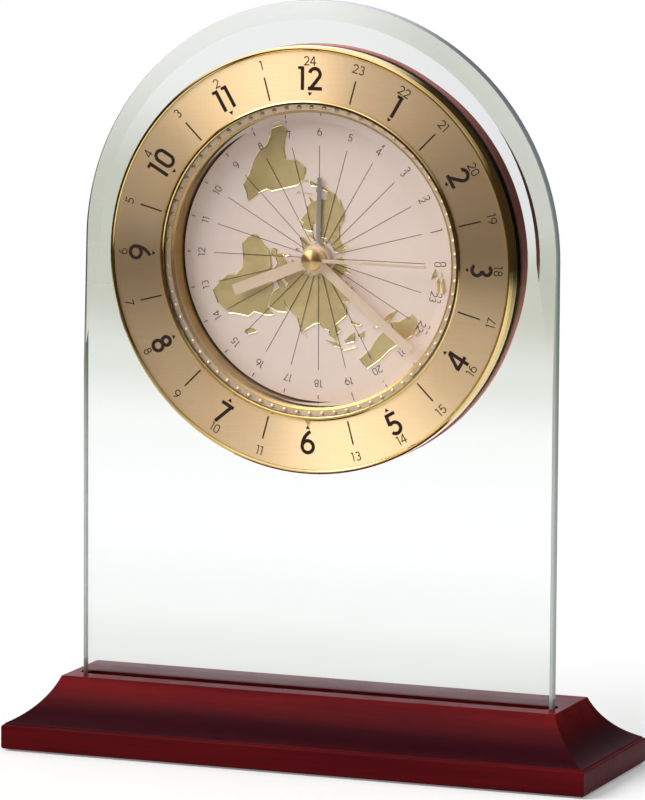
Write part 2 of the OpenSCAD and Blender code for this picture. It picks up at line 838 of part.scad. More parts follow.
// Coasts as [longitude, latitude], a few points each
africa = [[-17, 15], [-16, 21], [-10, 29], [-6, 35], [10, 37], [20, 32], [32, 31], [35, 27], [43, 12],
    [51, 11], [48, 5], [40, -3], [40, -11], [35, -20], [32, -28], [25, -34], [18, -34], [14, -22],
    [12, -14], [13, -5], [9, 4], [4, 6], [-8, 4], [-13, 8]];
eurasia = [[-9, 37], [-9, 43], [-2, 43], [-4, 48], [3, 51], [8, 54], [11, 54], [20, 55], [23, 59],
    [29, 60], [22, 62], [24, 65], [17, 61], [15, 56], [11, 59], [5, 60], [12, 66], [20, 70], [28, 71],
    [41, 67], [46, 68], [60, 69], [68, 72], [80, 73], [100, 77], [113, 74], [130, 71], [150, 72],
    [170, 70], [189, 66], [178, 62], [170, 60], [163, 58], [161, 54], [157, 51], [156, 57], [163, 62],
    [155, 59], [142, 59], [136, 54], [141, 51], [138, 46], [131, 43], [128, 40], [129, 36], [126, 35],
    [125, 39], [119, 38], [122, 36], [122, 30], [118, 24], [110, 21], [106, 19], [109, 12], [105, 9],
    [103, 2], [99, 8], [99, 14], [95, 16], [91, 22], [87, 21], [80, 14], [77, 8], [73, 17], [70, 22],
    [62, 25], [57, 26], [50, 30], [56, 24], [59, 22], [52, 16], [44, 13], [39, 20], [36, 28], [36, 36],
    [28, 37], [26, 40], [31, 42], [41, 42], [38, 46], [31, 46], [28, 42], [23, 40], [22, 37], [19, 41],
    [13, 45], [18, 40], [16, 38], [12, 42], [8, 44], [3, 42], [0, 39], [-3, 37]];
north_america = [[-168, 66], [-157, 71], [-140, 70], [-128, 70], [-112, 68], [-96, 68], [-93, 71],
    [-85, 69], [-82, 66], [-90, 64], [-94, 60], [-88, 57], [-82, 55], [-80, 52], [-78, 56], [-77, 62],
    [-70, 61], [-64, 59], [-56, 53], [-65, 50], [-60, 46], [-66, 44], [-70, 42], [-75, 40], [-76, 35],
    [-81, 31], [-80, 26], [-84, 30], [-90, 29], [-97, 27], [-97, 20], [-91, 18], [-87, 21], [-88, 16],
    [-83, 15], [-83, 10], [-78, 9], [-80, 7], [-86, 11], [-94, 16], [-105, 20], [-110, 27], [-114, 31],
    [-110, 23], [-117, 31], [-121, 35], [-124, 41], [-124, 48], [-132, 56], [-140, 60], [-150, 60],
    [-160, 55], [-158, 59], [-165, 62]];
south_america = [[-77, 8], [-72, 12], [-62, 10], [-52, 5], [-50, 0], [-44, -3], [-35, -6], [-39, -14],
    [-41, -22], [-48, -26], [-54, -34], [-58, -38], [-63, -40], [-66, -46], [-68, -53], [-73, -53],
    [-75, -46], [-73, -38], [-71, -30], [-70, -18], [-76, -14], [-81, -5], [-80, 1]];
australia = [[114, -22], [122, -18], [126, -14], [131, -12], [136, -12], [136, -16], [140, -17],
    [142, -11], [146, -19], [153, -26], [152, -32], [150, -37], [144, -38], [138, -34], [131, -31],
    [124, -33], [116, -35], [115, -30]];
greenland = [[-73, 78], [-60, 82], [-32, 83], [-20, 80], [-20, 74], [-27, 70], [-40, 65], [-43, 60],
    [-50, 62], [-54, 68], [-58, 75]];
islands = [
    [[44, -24], [47, -25], [50, -15], [46, -16]],
    [[131, -1], [138, -2], [147, -6], [150, -10], [143, -9], [138, -8], [133, -4]],
    [[109, 1], [114, 5], [118, 5], [117, 0], [115, -4], [110, -3]],
    [[95, 5], [104, 0], [106, -6], [101, -3]],
    [[106, -7], [115, -8], [115, -10], [106, -9]],
    [[119, 1], [125, 1], [121, -5]],
    [[120, 18], [122, 14], [126, 8], [123, 8], [119, 14]],
    [[130, 32], [136, 34], [141, 36], [141, 41], [144, 44], [141, 45], [139, 40], [136, 37], [131, 35]],
    [[-5, 50], [1, 51], [-2, 57], [-5, 58], [-3, 54]],
    [[-24, 65], [-14, 65], [-18, 63]],
    [[173, -35], [178, -38], [175, -41]],
    [[172, -41], [174, -43], [169, -47], [167, -45]],
    [[-84, 23], [-75, 20], [-78, 22]],
    [[-73, 20], [-68, 19], [-72, 18]],
    [[-80, 74], [-72, 71], [-62, 66], [-66, 63], [-73, 65], [-74, 69], [-84, 71]],
    [[-90, 77], [-78, 79], [-68, 82], [-92, 81]],
    [[-117, 70], [-105, 70], [-107, 73], [-117, 73]],
    [[53, 71], [57, 74], [67, 77], [58, 71]],
    [[80, 9], [82, 7], [80, 6]],
    [[145, -41], [148, -41], [147, -43]],
    [[142, 46], [144, 50], [142, 54]]];
lands = concat([africa, eurasia, north_america, south_america, australia, greenland], islands);

module land_flat() {
    difference() {
        for (land = lands)
            polygon([for (p = land) mapped(p)]);
        circle(r = day_r + 0.3, $fn = fine);
    }
}

module map_relief() {
    color([0.68, 0.6, 0.33])
        plate(disc_y - relief_t, relief_t)
            land_flat();
}

// Printed on the map disc and over its land: the 24 meridians, a tick and an hour number at each
meridian_r = disc_r - 9.4;
zone_r = disc_r - 5.4;
zone_tall = 2.2;
module marks_flat() {
    for (h = [0:23])
        rotate(h * 15) {
            translate([hub_back_r + 1, -0.07])
                square([meridian_r - hub_back_r - 1, 0.14]);
            translate([disc_r - 1.9, -0.12])
                square([1.2, 0.24]);
            translate([zone_r, 0])
                rotate(-90)
                    number(h, zone_tall, 0.9);
        }
}

module map_marks() {
    color([0.2, 0.15, 0.14]) {
        plate(disc_y - mark_t, mark_t)
            difference() {
                marks_flat();
                land_flat();
            }
        plate(disc_y - relief_t - mark_t, mark_t)
            intersection() {
                marks_flat();
                land_flat();
            }
    }
}

module day_wheel() {
    color([0.86, 0.84, 0.78])
        union() {
            gear([0, 0], 0, z_day, m_day, t_day, day_bore);
            pipe(disc_y, level_y(0) + eps, day_r, day_bore);
        }
}

// A hand: a straight blade with a square end, and a round hub that takes its pipe
module hand(angle, length, tail, width, hub, blade_y, bore, hub_radius) {
    difference() {
        union() {
            plate(blade_y, blade_t)
                rotate(-angle)
                    translate([-width / 2, -tail])
                        square([width, length + tail]);
            rod([0, 0], hub[0], hub[1], hub_radius);
        }
        rod([0, 0], hub[0] - 1, hub[1] + 1, bore);
    }
}

module alarm_hand() {
    color([0.84, 0.84, 0.86])
        hand(alarm_angle, alarm_len, 0, alarm_w, alarm_hub, alarm_hub[0] + 0.5, alarm_r + fit, hub_back_r);
}

module alarm_wheel() {
    color([0.9, 0.9, 0.86])
        union() {
            gear([0, 0], 1, z_alarm, m_alarm, 0, alarm_bore);
            pipe(alarm_hub[0] + 0.05, level_y(1) + eps, alarm_r, alarm_bore);
        }
}

module hour_hand() {
    color([0.93, 0.8, 0.68])
        hand(hour_angle, hour_len, 0, hour_w, hour_hub, hour_hub[0] + 0.6, hour_r + fit, hub_back_r);
}

module hour_wheel() {
    color([0.9, 0.88, 0.8])
        union() {
            gear([0, 0], 2, z_hour_p, m_idler, t_hour, hour_bore);
            gear([0, 0], 3, z_hour, m_hour, t_hour, hour_bore);
            pipe(hour_hub[0] + 0.05, level_y(3) + eps, hour_r, hour_bore);
        }
}

module minute_hand() {
    color([0.93, 0.8, 0.68])
        hand(minute_angle, minute_len, 0, minute_w, minute_hub, minute_hub[0] + 0.6, cannon_r + fit, hub_r + 0.4);
}

// Cannon pinion: the tube that carries the minute hand, with the pinion of the motion work
module cannon_pinion() {
    color([0.8, 0.7, 0.4])
        union() {
            gear([0, 0], 4, z_cannon, m_motion, 0, cannon_bore);
            pipe(minute_hub[0] + 0.05, level_y(5) + wheel_t, cannon_r, cannon_bore);
        }
}

// Centre wheel: slips on the cannon pinion when the hands are set
module centre_wheel() {
    color([0.9, 0.88, 0.8])
        gear([0, 0], 5, z_centre, m_centre, 0, cannon_r + fit);
}

module second_hand() {
    root_w = second_w;
    tip_w = second_w * 0.75;
    blade_y = second_hub[0] + 0.6;
    color([0.95, 0.82, 0.66])
        difference() {
            union() {
                plate(blade_y, blade_t)
                    rotate(-second_angle)
                        polygon([[-root_w / 2, 0], [root_w / 2, 0], [tip_w / 2, second_len], [-tip_w / 2, second_len]]);
                turned([[0, second_hub[0]], [hub_r - 0.3, second_hub[0]], [hub_r, second_hub[0] + 0.3],
                    [hub_r, second_hub[1]], [0, second_hub[1]]]);
            }
            rod([0, 0], second_hub[0] + 0.6, second_hub[1] + 1, arbor_r + fit);
        }
}

module seconds_wheel() {
    color([0.9, 0.88, 0.8])
        union() {
            gear([0, 0], 6, z_second_p, m_third, t_second, 0.2, 0.75);
            gear([0, 0], 7, z_second, m_second, t_second, 0.2);
            rod([0, 0], second_hub[0] + 0.7, bridge_y1 - 0.3, arbor_r);
            rod([0, 0], level_y(6) + wheel_t - eps, level_y(7) + eps, 0.62);
        }
}

// A wheel and its pinion on one hub, drilled to turn on a fixed stud
stud_r = 0.4;
module wheel_pair(place, n_wheel, z_wheel, m_wheel, n_pinion, z_pinion, m_pinion, turn, hub) {
    lo = min(n_wheel, n_pinion);
    hi = max(n_wheel, n_pinion);
    difference() {
        union() {
            gear_blank(place, n_wheel, z_wheel, m_wheel, turn);
            gear_blank(place, n_pinion, z_pinion, m_pinion, turn, 0.75);
            rod(place, level_y(lo) + wheel_t - eps, level_y(hi) + eps, hub);
        }
        rod(place, level_y(lo) - 1, level_y(hi) + wheel_t + 1, stud_r + run);
    }
}

module minute_wheel() {
    color([0.9, 0.88, 0.8])
        wheel_pair(minute_at, 4, z_minute, m_motion, 3, z_minute_p, m_hour, t_minute, 1);
}

module day_idler() {
    color([0.9, 0.88, 0.8])
        wheel_pair(idler_at, 2, z_idler, m_idler, 0, z_idler_p, m_day, t_idler, 2);
}

module reverse_idler() {
    color([0.9, 0.88, 0.8])
        gear(reverse_at, 0, z_reverse, m_day, t_reverse, stud_r + run);
}

module third_wheel() {
    color([0.9, 0.88, 0.8])
        wheel_pair(third_at, 6, z_third, m_third, 5, z_third_p, m_centre, t_third, 0.56);
}

module intermediate_wheel() {
    color([0.9, 0.88, 0.8])
        wheel_pair(inter_at, 8, z_inter, m_inter, 7, z_inter_p, m_second, t_inter, 0.65);
}

// Magnet of the stepping motor
magnet_r = 2.6;
magnet_y0 = level_y(4) + 0.3;
magnet_y1 = level_y(7) - 0.2;
module rotor() {
    color([0.35, 0.35, 0.38])
        difference() {
            union() {
                gear(rotor_at, 8, z_rotor_p, m_inter, t_rotor, 0.1, 0.75);
                rod(rotor_at, magnet_y1 - eps, level_y(8) + eps, 0.52);
                rod(rotor_at, magnet_y0, magnet_y1, magnet_r);
            }
            rod(rotor_at, magnet_y0 - 1, level_y(9) + 1, 0.25 + run);
        }
}

stator_t = 1;
stator_y = level_y(6) - 0.1;
coil_x = rotor_at[0] + 12;
coil_z0 = -11;
coil_z1 = 17;
arm_w = 5;
module stator() {
    color([0.62, 0.62, 0.66])
        plate(stator_y, stator_t)
            difference() {
                union() {
                    for (z = [coil_z0, coil_z1])
                        translate([rotor_at[0] - 0.6, z - arm_w / 2])
                            square([coil_x - rotor_at[0] + 2.6, arm_w]);
                    translate([rotor_at[0] - 0.6, coil_z0])
                        square([6.2, coil_z1 - coil_z0]);
                    translate(rotor_at)
                        circle(r = magnet_r + 1.7, $fn = fine);
                }
                translate(rotor_at)
                    circle(r = magnet_r + 0.5, $fn = fine);
                coil_holes(0.85);
            }
}

// Places of the two screws that hold the coil and the stator
module coil_holes(r) {
    for (z = [coil_z0, coil_z1])
        translate([coil_x, z])
            circle(r = r, $fn = fine);
}

module coil_core() {
    color([0.5, 0.5, 0.54])
        plate(stator_y + stator_t, stator_t)
            difference() {
                translate([coil_x - 2, coil_z0 - arm_w / 2])
                    square([4, coil_z1 - coil_z0 + arm_w]);
                coil_holes(0.85);
            }
}

module coil_winding() {
    color([0.72, 0.36, 0.14])
        translate([coil_x, stator_y + 1.5 * stator_t, dial_z + coil_z0 + 4])
            difference() {
                cylinder(r = 4.2, h = coil_z1 - coil_z0 - 8, $fn = fine);
                translate([-2 - fit, -stator_t / 2 - fit, -1])
                    cube([4 + 2 * fit, stator_t + 2 * fit, coil_z1 - coil_z0]);
            }
}

module coil_screws() {
    color([0.75, 0.75, 0.78])
        for (z = [coil_z0, coil_z1])
            screw_at([coil_x, z], stator_y + 2 * stator_t, 0.7 - fit, 4.4, 1.5, 0.8);
}

// Places of the screws at the corners of the movement
corner_in = 3.2;
post_z = -16.4;
corner_places = [[-move_w / 2 + corner_in, move_up - corner_in], [move_w / 2 - corner_in, move_up - corner_in],
    [-move_w / 2 + corner_in, post_z], [move_w / 2 - corner_in, post_z]];
bridge_x = 20;
bridge_places = [[-17, bridge_x - 2], [-17, -12], [6, bridge_x - 2]];

module move_outline(inset) {
    round_rect(-move_w / 2 + inset, -move_down + inset, move_w / 2 - inset, move_up - inset, corner_r - inset);
}

module front_plate() {
    color([0.86, 0.86, 0.84])
        difference() {
            union() {
                plate(plate_y0, plate_t)
                    move_outline(0);
                plate(plate_y1 - eps, cover_in_y - plate_y1 - 0.1 + eps)
                    difference() {
                        move_outline(0);
                        move_outline(move_wall);
                    }
                rod([0, 0], disc_y1 + 0.5, plate_y0 + eps, bush_r);
                for (p = corner_places)
                    rod(p, plate_y1 - eps, cover_in_y - 0.1, 2.2);
                for (p = bridge_places)
                    rod(p, plate_y1 - eps, bridge_y0, 1.8);
                for (z = [coil_z0, coil_z1])
                    rod([coil_x, z], plate_y1 - eps, stator_y, 1.8);
            }
            rod([0, 0], disc_y1 - 1, plate_y1 + 1, bush_bore);
            for (p = corner_places)
                rod(p, cover_in_y - 7, cover_in_y + 1, 0.9);
            for (p = bridge_places)
                rod(p, bridge_y0 - 4, bridge_y0 + 1, 0.7);
            for (z = [coil_z0, coil_z1])
                rod([coil_x, z], stator_y - 3, stator_y + 1, 0.7);
            for (p = [minute_at, idler_at, reverse_at])
                rod(p, plate_y0 + 0.4, plate_y1 + 1, stud_r + fit);
        }
}

// Flat nut on the bushing, in front of the back of the insert case
nut_t = 2;
module bushing_nut() {
    color([0.8, 0.68, 0.36])
        difference() {
            plate(case_back_y0 - nut_t, nut_t)
                circle(r = 8, $fn = 6);
            rod([0, 0], case_back_y0 - nut_t - 1, case_back_y0 + 1, bush_r + fit);
        }
}

// Fixed studs in the front plate that the wheels of the motion work turn on
module motion_studs() {
    color([0.78, 0.78, 0.8]) {
        rod(minute_at, plate_y0 + 0.4, level_y(4) + wheel_t + 0.2, stud_r);
        rod(idler_at, plate_y0 + 0.4, level_y(2) + wheel_t + 0.2, stud_r);
        rod(reverse_at, plate_y0 + 0.4, level_y(0) + wheel_t + 0.2, stud_r);
    }
}

module train_bridge() {
    x0 = -20;
    z0 = -15;
    x1 = 12.5;
    z1 = 21;
    color([0.8, 0.82, 0.84])
        difference() {
            plate(bridge_y0, bridge_t)
                round_rect(x0, z0, x1, z1, 2);
            rod([0, 0], bridge_y0 - 1, bridge_y1 + 1, arbor_r + run);
            for (p = [alarm_at, time_at])
                rod(p, bridge_y0 - 1, bridge_y1 + 1, shaft_r + run);
            for (p = [third_at, inter_at, rotor_at])
                rod(p, bridge_y0 - 1, bridge_y1 - 0.3, (p == rotor_at ? 0.25 : stud_r) + fit);
            for (p = bridge_places)
                rod(p, bridge_y0 - 1, bridge_y1 + 1, 0.85);
        }
}

// Fixed studs in the bridge that the wheels of the going train turn on
module train_studs() {
    color([0.78, 0.78, 0.8]) {
        rod(third_at, level_y(5) - 0.15, bridge_y1 - 0.3, stud_r);
        rod(inter_at, level_y(7) - 0.15, bridge_y1 - 0.3, stud_r);
        rod(rotor_at, magnet_y0 - 0.15, bridge_y1 - 0.3, 0.25);
    }
}

module bridge_screws() {
    color([0.75, 0.75, 0.78])
        for (p = bridge_places)
            screw_at(p, bridge_y1, 0.7 - fit, 3.6, 1.4, 0.8);
}

// Circuit board to the left of the wheels, on two posts' height above the bridge
board_x0 = -27.5;
board_z0 = -10;
board_w = 14;
board_h = 30;
module circuit_board() {
    color([0.1, 0.35, 0.18])
        difference() {
            block([board_x0, bridge_y1, board_z0], [board_w, board_t, board_h]);
            for (p = bridge_places)
                rod(p, bridge_y1 - 1, bridge_y1 + board_t + 1, 1.6);
        }
}

module control_chip() {
    color([0.07, 0.07, 0.08])
        block([board_x0 + 3, bridge_y1 + board_t, board_z0 + 6], [5, 1.2, 5]);
}

module quartz_can() {
    color([0.8, 0.8, 0.83])
        translate([board_x0 + 4, bridge_y1 + board_t + 1, dial_z + board_z0 + 17])
            cylinder(r = 1, h = 6.4, $fn = fine);
}

// Sounder disc, glued inside the rear cover
buzzer_x = 18.5;
buzzer_z = 14;
module buzzer() {
    color([0.85, 0.7, 0.35])
        rod([buzzer_x, buzzer_z], cover_in_y - 0.5, cover_in_y, 9);
}

// The battery lies with its button against the right-hand contact
inner_x = move_w / 2 - move_wall;
contact_t = 0.5;
button_h = 1.2;
button_x = inner_x - 0.1 - contact_t - fit;
battery_x = button_x - button_h - battery_len;
module battery() {
    color([0.16, 0.17, 0.2])
        translate([battery_x, battery_y, dial_z + battery_z])
            rotate([0, 90, 0])
                union() {
                    cylinder(r = battery_d / 2, h = battery_len, $fn = fine);
                    cylinder(r = 2.7, h = battery_len + button_h, $fn = fine);
                }
}

module contact_plus() {
    color([0.82, 0.82, 0.84])
        block([inner_x - 0.1 - contact_t, battery_y - 4, battery_z - 4], [contact_t, 8, 8]);
}

// Negative contact: a plate against the case, and a cone in the place of its coil spring
module contact_minus() {
    color([0.82, 0.82, 0.84])
        union() {
            block([-inner_x + 0.1, battery_y - 4, battery_z - 4], [contact_t, 8, 8]);
            translate([-inner_x + 0.1, battery_y, dial_z + battery_z])
                rotate([0, 90, 0])
                    cylinder(r1 = 3.8, r2 = 2.2, h = battery_x + inner_x - 0.1 - fit, $fn = fine);
        }
}

// Opening for the battery in the rear cover, and the door that closes it
door_x = 28;
door_z1 = battery_z + battery_d / 2 - 0.4;
door_z0 = battery_z - battery_d / 2 + 0.4;
door_t = move_wall;
door_gap = 0.25;
switch_x = -18;
switch_z = 15;
shaft_r = 1.1;
switch_w = 4;
hinge_y = cover_y1 + 1.1;
hinge_z = door_z0 - 0.4;
hinge_r = 0.9;
pin_r = 0.5;
lug_x = 20;
lug_w = 3;
knuckle_w = 4;

// A rod along X on the axis of the door's hinge, centred at x
module cross_rod(x, wide, r) {
    translate([x - wide / 2, hinge_y, dial_z + hinge_z])
        rotate([0, 90, 0])
            cylinder(r = r, h = wide, $fn = fine);
}

// A round lug of the hinge, with a block that ties it to the cover (low) or to the door (high)
module hinge_part(x, wide, r, foot) {
    cross_rod(x, wide, r);
    if (foot < 0)
        block([x - wide / 2, cover_y1 - eps, hinge_z - r], [wide, hinge_y - cover_y1 + eps, 2 * r]);
    else
        block([x - wide / 2, hinge_y - 0.7, hinge_z], [wide, 1.4, foot]);
}

module rear_cover() {
    color([0.1, 0.1, 0.11])
        difference() {
            union() {
                plate(cover_in_y, move_wall)
                    move_outline(0);
                // Collars round the two shafts
                for (p = [alarm_at, time_at])
                    rod(p, cover_in_y - 1.4, cover_in_y + eps, shaft_r + run + 0.9);
                // Lugs that take the pins of the battery door
                for (s = [-1, 1])
                    hinge_part(s * (lug_x + lug_w / 2), lug_w, hinge_r, -1.4);
            }
            for (s = [-1, 1])
                cross_rod(s * (lug_x + lug_w / 2), lug_w + 1, pin_r + run);
            for (p = [alarm_at, time_at])
                rod(p, cover_in_y - 3, cover_y1 + 1, shaft_r + run);
            for (p = corner_places)
                rod(p, cover_in_y - 1, cover_y1 + 1, 1.1);
            block([-door_x, cover_in_y - 1, door_z0], [2 * door_x, move_wall + 2, door_z1 - door_z0]);
            block([switch_x - switch_travel / 2 - 2, cover_in_y - 1, switch_z - switch_w / 2 - 0.15],
                [switch_travel + 4, move_wall + 2, switch_w + 0.3]);
            // Holes that let the sounder be heard
            for (n = [0:5])
                rod([buzzer_x, buzzer_z] + at(n * 60, 4), cover_in_y - 1, cover_y1 + 1, 0.7);
        }
}

module cover_screws() {
    color([0.75, 0.75, 0.78])
        for (p = corner_places)
            screw_at(p, cover_y1, 0.9 - fit, 7, 1.9, 1);
}

// Door with a finger rib, hinged on two pins along its lower edge
module battery_door() {
    color([0.13, 0.13, 0.14])
        union() {
            block([-door_x + door_gap, cover_in_y, door_z0 + door_gap],
                [2 * (door_x - door_gap), door_t, door_z1 - door_z0 - 2 * door_gap]);
            block([-6, cover_y1 - eps, door_z1 - 3.4], [12, 0.8, 1.2]);
            for (s = [-1, 1]) {
                x = s * (lug_x - 0.2 - knuckle_w / 2);
                hinge_part(x, knuckle_w, hinge_r, 2.4);
                block([x - knuckle_w / 2, cover_y1 - eps, door_z0 + 0.6], [knuckle_w, 1.2, 1.4]);
                cross_rod(s * (lug_x + lug_w / 2 - 0.2), lug_w, pin_r);
            }
        }
}

module alarm_shaft() {
    color([0.85, 0.85, 0.82])
        union() {
            gear(alarm_at, 1, z_alarm_p, m_alarm, t_alarm_p, 0.2);
            rod(alarm_at, level_y(1) - 0.2, cover_y1 + knob_h - 1.4, shaft_r);
        }
}

module time_shaft() {
    color([0.85, 0.85, 0.82])
        union() {
            gear(time_at, 4, z_time_p, m_motion, t_time_p, 0.2);
            rod(time_at, level_y(4) - 0.2, cover_y1 + knob_h - 1.4, shaft_r);
        }
}

// A fluted knob with a blind hole for its shaft
module knob(place) {
    difference() {
        union() {
            rod(place, cover_y1 + 0.4, cover_y1 + 0.9, knob_r - 0.6);
            plate(cover_y1 + 0.9, knob_h - 0.9)
                translate(place)
                    difference() {
                        circle(r = knob_r, $fn = fine);
                        for (n = [0:15])
                            rotate(n * 22.5)
                                translate([knob_r + 0.35, 0])
                                    circle(r = 0.75, $fn = 24);
                    }
        }
        rod(place, cover_y1, cover_y1 + knob_h - 1.4 + fit, shaft_r + fit);
    }
}

module alarm_knob() {
    color([0.08, 0.08, 0.09])
        knob(alarm_at);
}

module time_knob() {
    color([0.08, 0.08, 0.09])
        knob(time_at);
}

module alarm_switch() {
    x = switch_x - switch_travel / 2;
    color([0.7, 0.12, 0.1])
        union() {
            block([x - 1.6, cover_in_y - 0.2, switch_z - switch_w / 2], [3.2, move_wall + 1.3, switch_w]);
            block([x - 2.9, cover_in_y - 1.1, switch_z - switch_w / 2 - 1.2], [5.8, 1, switch_w + 2.4]);
        }
}

wood_base();
base_felt();
slot_bed();
glass_panel();
bezel();
bezel_gasket();
hour_ring();
hour_marks();
trim_ring();
bead_ring();
crystal();
dial_well();
insert_case();
rear_gasket();
clamp_ring();
clamp_screws();
map_disc();
map_relief();
map_marks();
day_wheel();
alarm_hand();
alarm_wheel();
hour_hand();
hour_wheel();
minute_hand();
cannon_pinion();
centre_wheel();
second_hand();
seconds_wheel();
minute_wheel();
day_idler();
reverse_idler();
third_wheel();
intermediate_wheel();
rotor();
stator();
coil_core();
coil_winding();
coil_screws();
front_plate();
bushing_nut();
motion_studs();
train_bridge();
train_studs();
bridge_screws();
circuit_board();
quartz_can();
control_chip();
buzzer();
battery();
contact_plus();
contact_minus();
rear_cover();
cover_screws();
battery_door();
time_shaft();
time_knob();
alarm_shaft();
alarm_knob();
alarm_switch();
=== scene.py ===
"""World time clock: arched bevelled glass in a moulded wooden base, with a brass dial through it."""

import json
import logging
import math
from dataclasses import dataclass, field
from enum import Enum

import bmesh
import bpy
from mathutils import Matrix, Vector


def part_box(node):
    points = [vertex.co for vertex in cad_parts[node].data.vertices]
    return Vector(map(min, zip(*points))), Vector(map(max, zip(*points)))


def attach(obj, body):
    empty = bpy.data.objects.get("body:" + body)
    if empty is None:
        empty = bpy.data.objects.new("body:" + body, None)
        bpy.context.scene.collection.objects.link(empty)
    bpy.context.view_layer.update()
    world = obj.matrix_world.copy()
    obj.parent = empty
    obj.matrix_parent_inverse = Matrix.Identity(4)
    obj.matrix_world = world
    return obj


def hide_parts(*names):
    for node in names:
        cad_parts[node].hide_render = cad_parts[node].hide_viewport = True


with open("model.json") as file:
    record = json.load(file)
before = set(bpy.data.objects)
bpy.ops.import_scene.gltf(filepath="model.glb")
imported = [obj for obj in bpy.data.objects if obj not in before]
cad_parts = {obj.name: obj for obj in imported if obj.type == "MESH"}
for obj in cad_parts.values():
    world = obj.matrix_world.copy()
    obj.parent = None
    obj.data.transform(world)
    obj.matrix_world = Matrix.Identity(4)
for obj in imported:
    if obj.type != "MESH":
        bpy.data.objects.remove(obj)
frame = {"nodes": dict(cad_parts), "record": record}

log = logging.getLogger("clock")

Colour = tuple[float, float, float]
Node = bpy.types.Node
Socket = bpy.types.NodeSocket
Tree = bpy.types.NodeTree

# Anisotropic Rotation, in turns, that lays the grain round the dial
ROUND_THE_DIAL = 0.25

# Depth that each kind of bump stands for, in metres
TOOL_MARK = 0.00004
SKIN_MARK = 0.00003
FIBRE_MARK = 0.0002


# Node trees


def srgb(red: int, green: int, blue: int) -> Colour:
    """Turns a colour as a screen shows it, 0 to 255, into the linear values that a shader takes.

    Args:
        red: Red, 0 to 255.
        green: Green, 0 to 255.
        blue: Blue, 0 to 255.

    Returns:
        The linear colour.
    """

    def linear(value: float) -> float:
        """Undoes the screen curve for one channel."""
        return value / 12.92 if value <= 0.04045 else ((value + 0.055) / 1.055) ** 2.4

    return (linear(red / 255), linear(green / 255), linear(blue / 255))


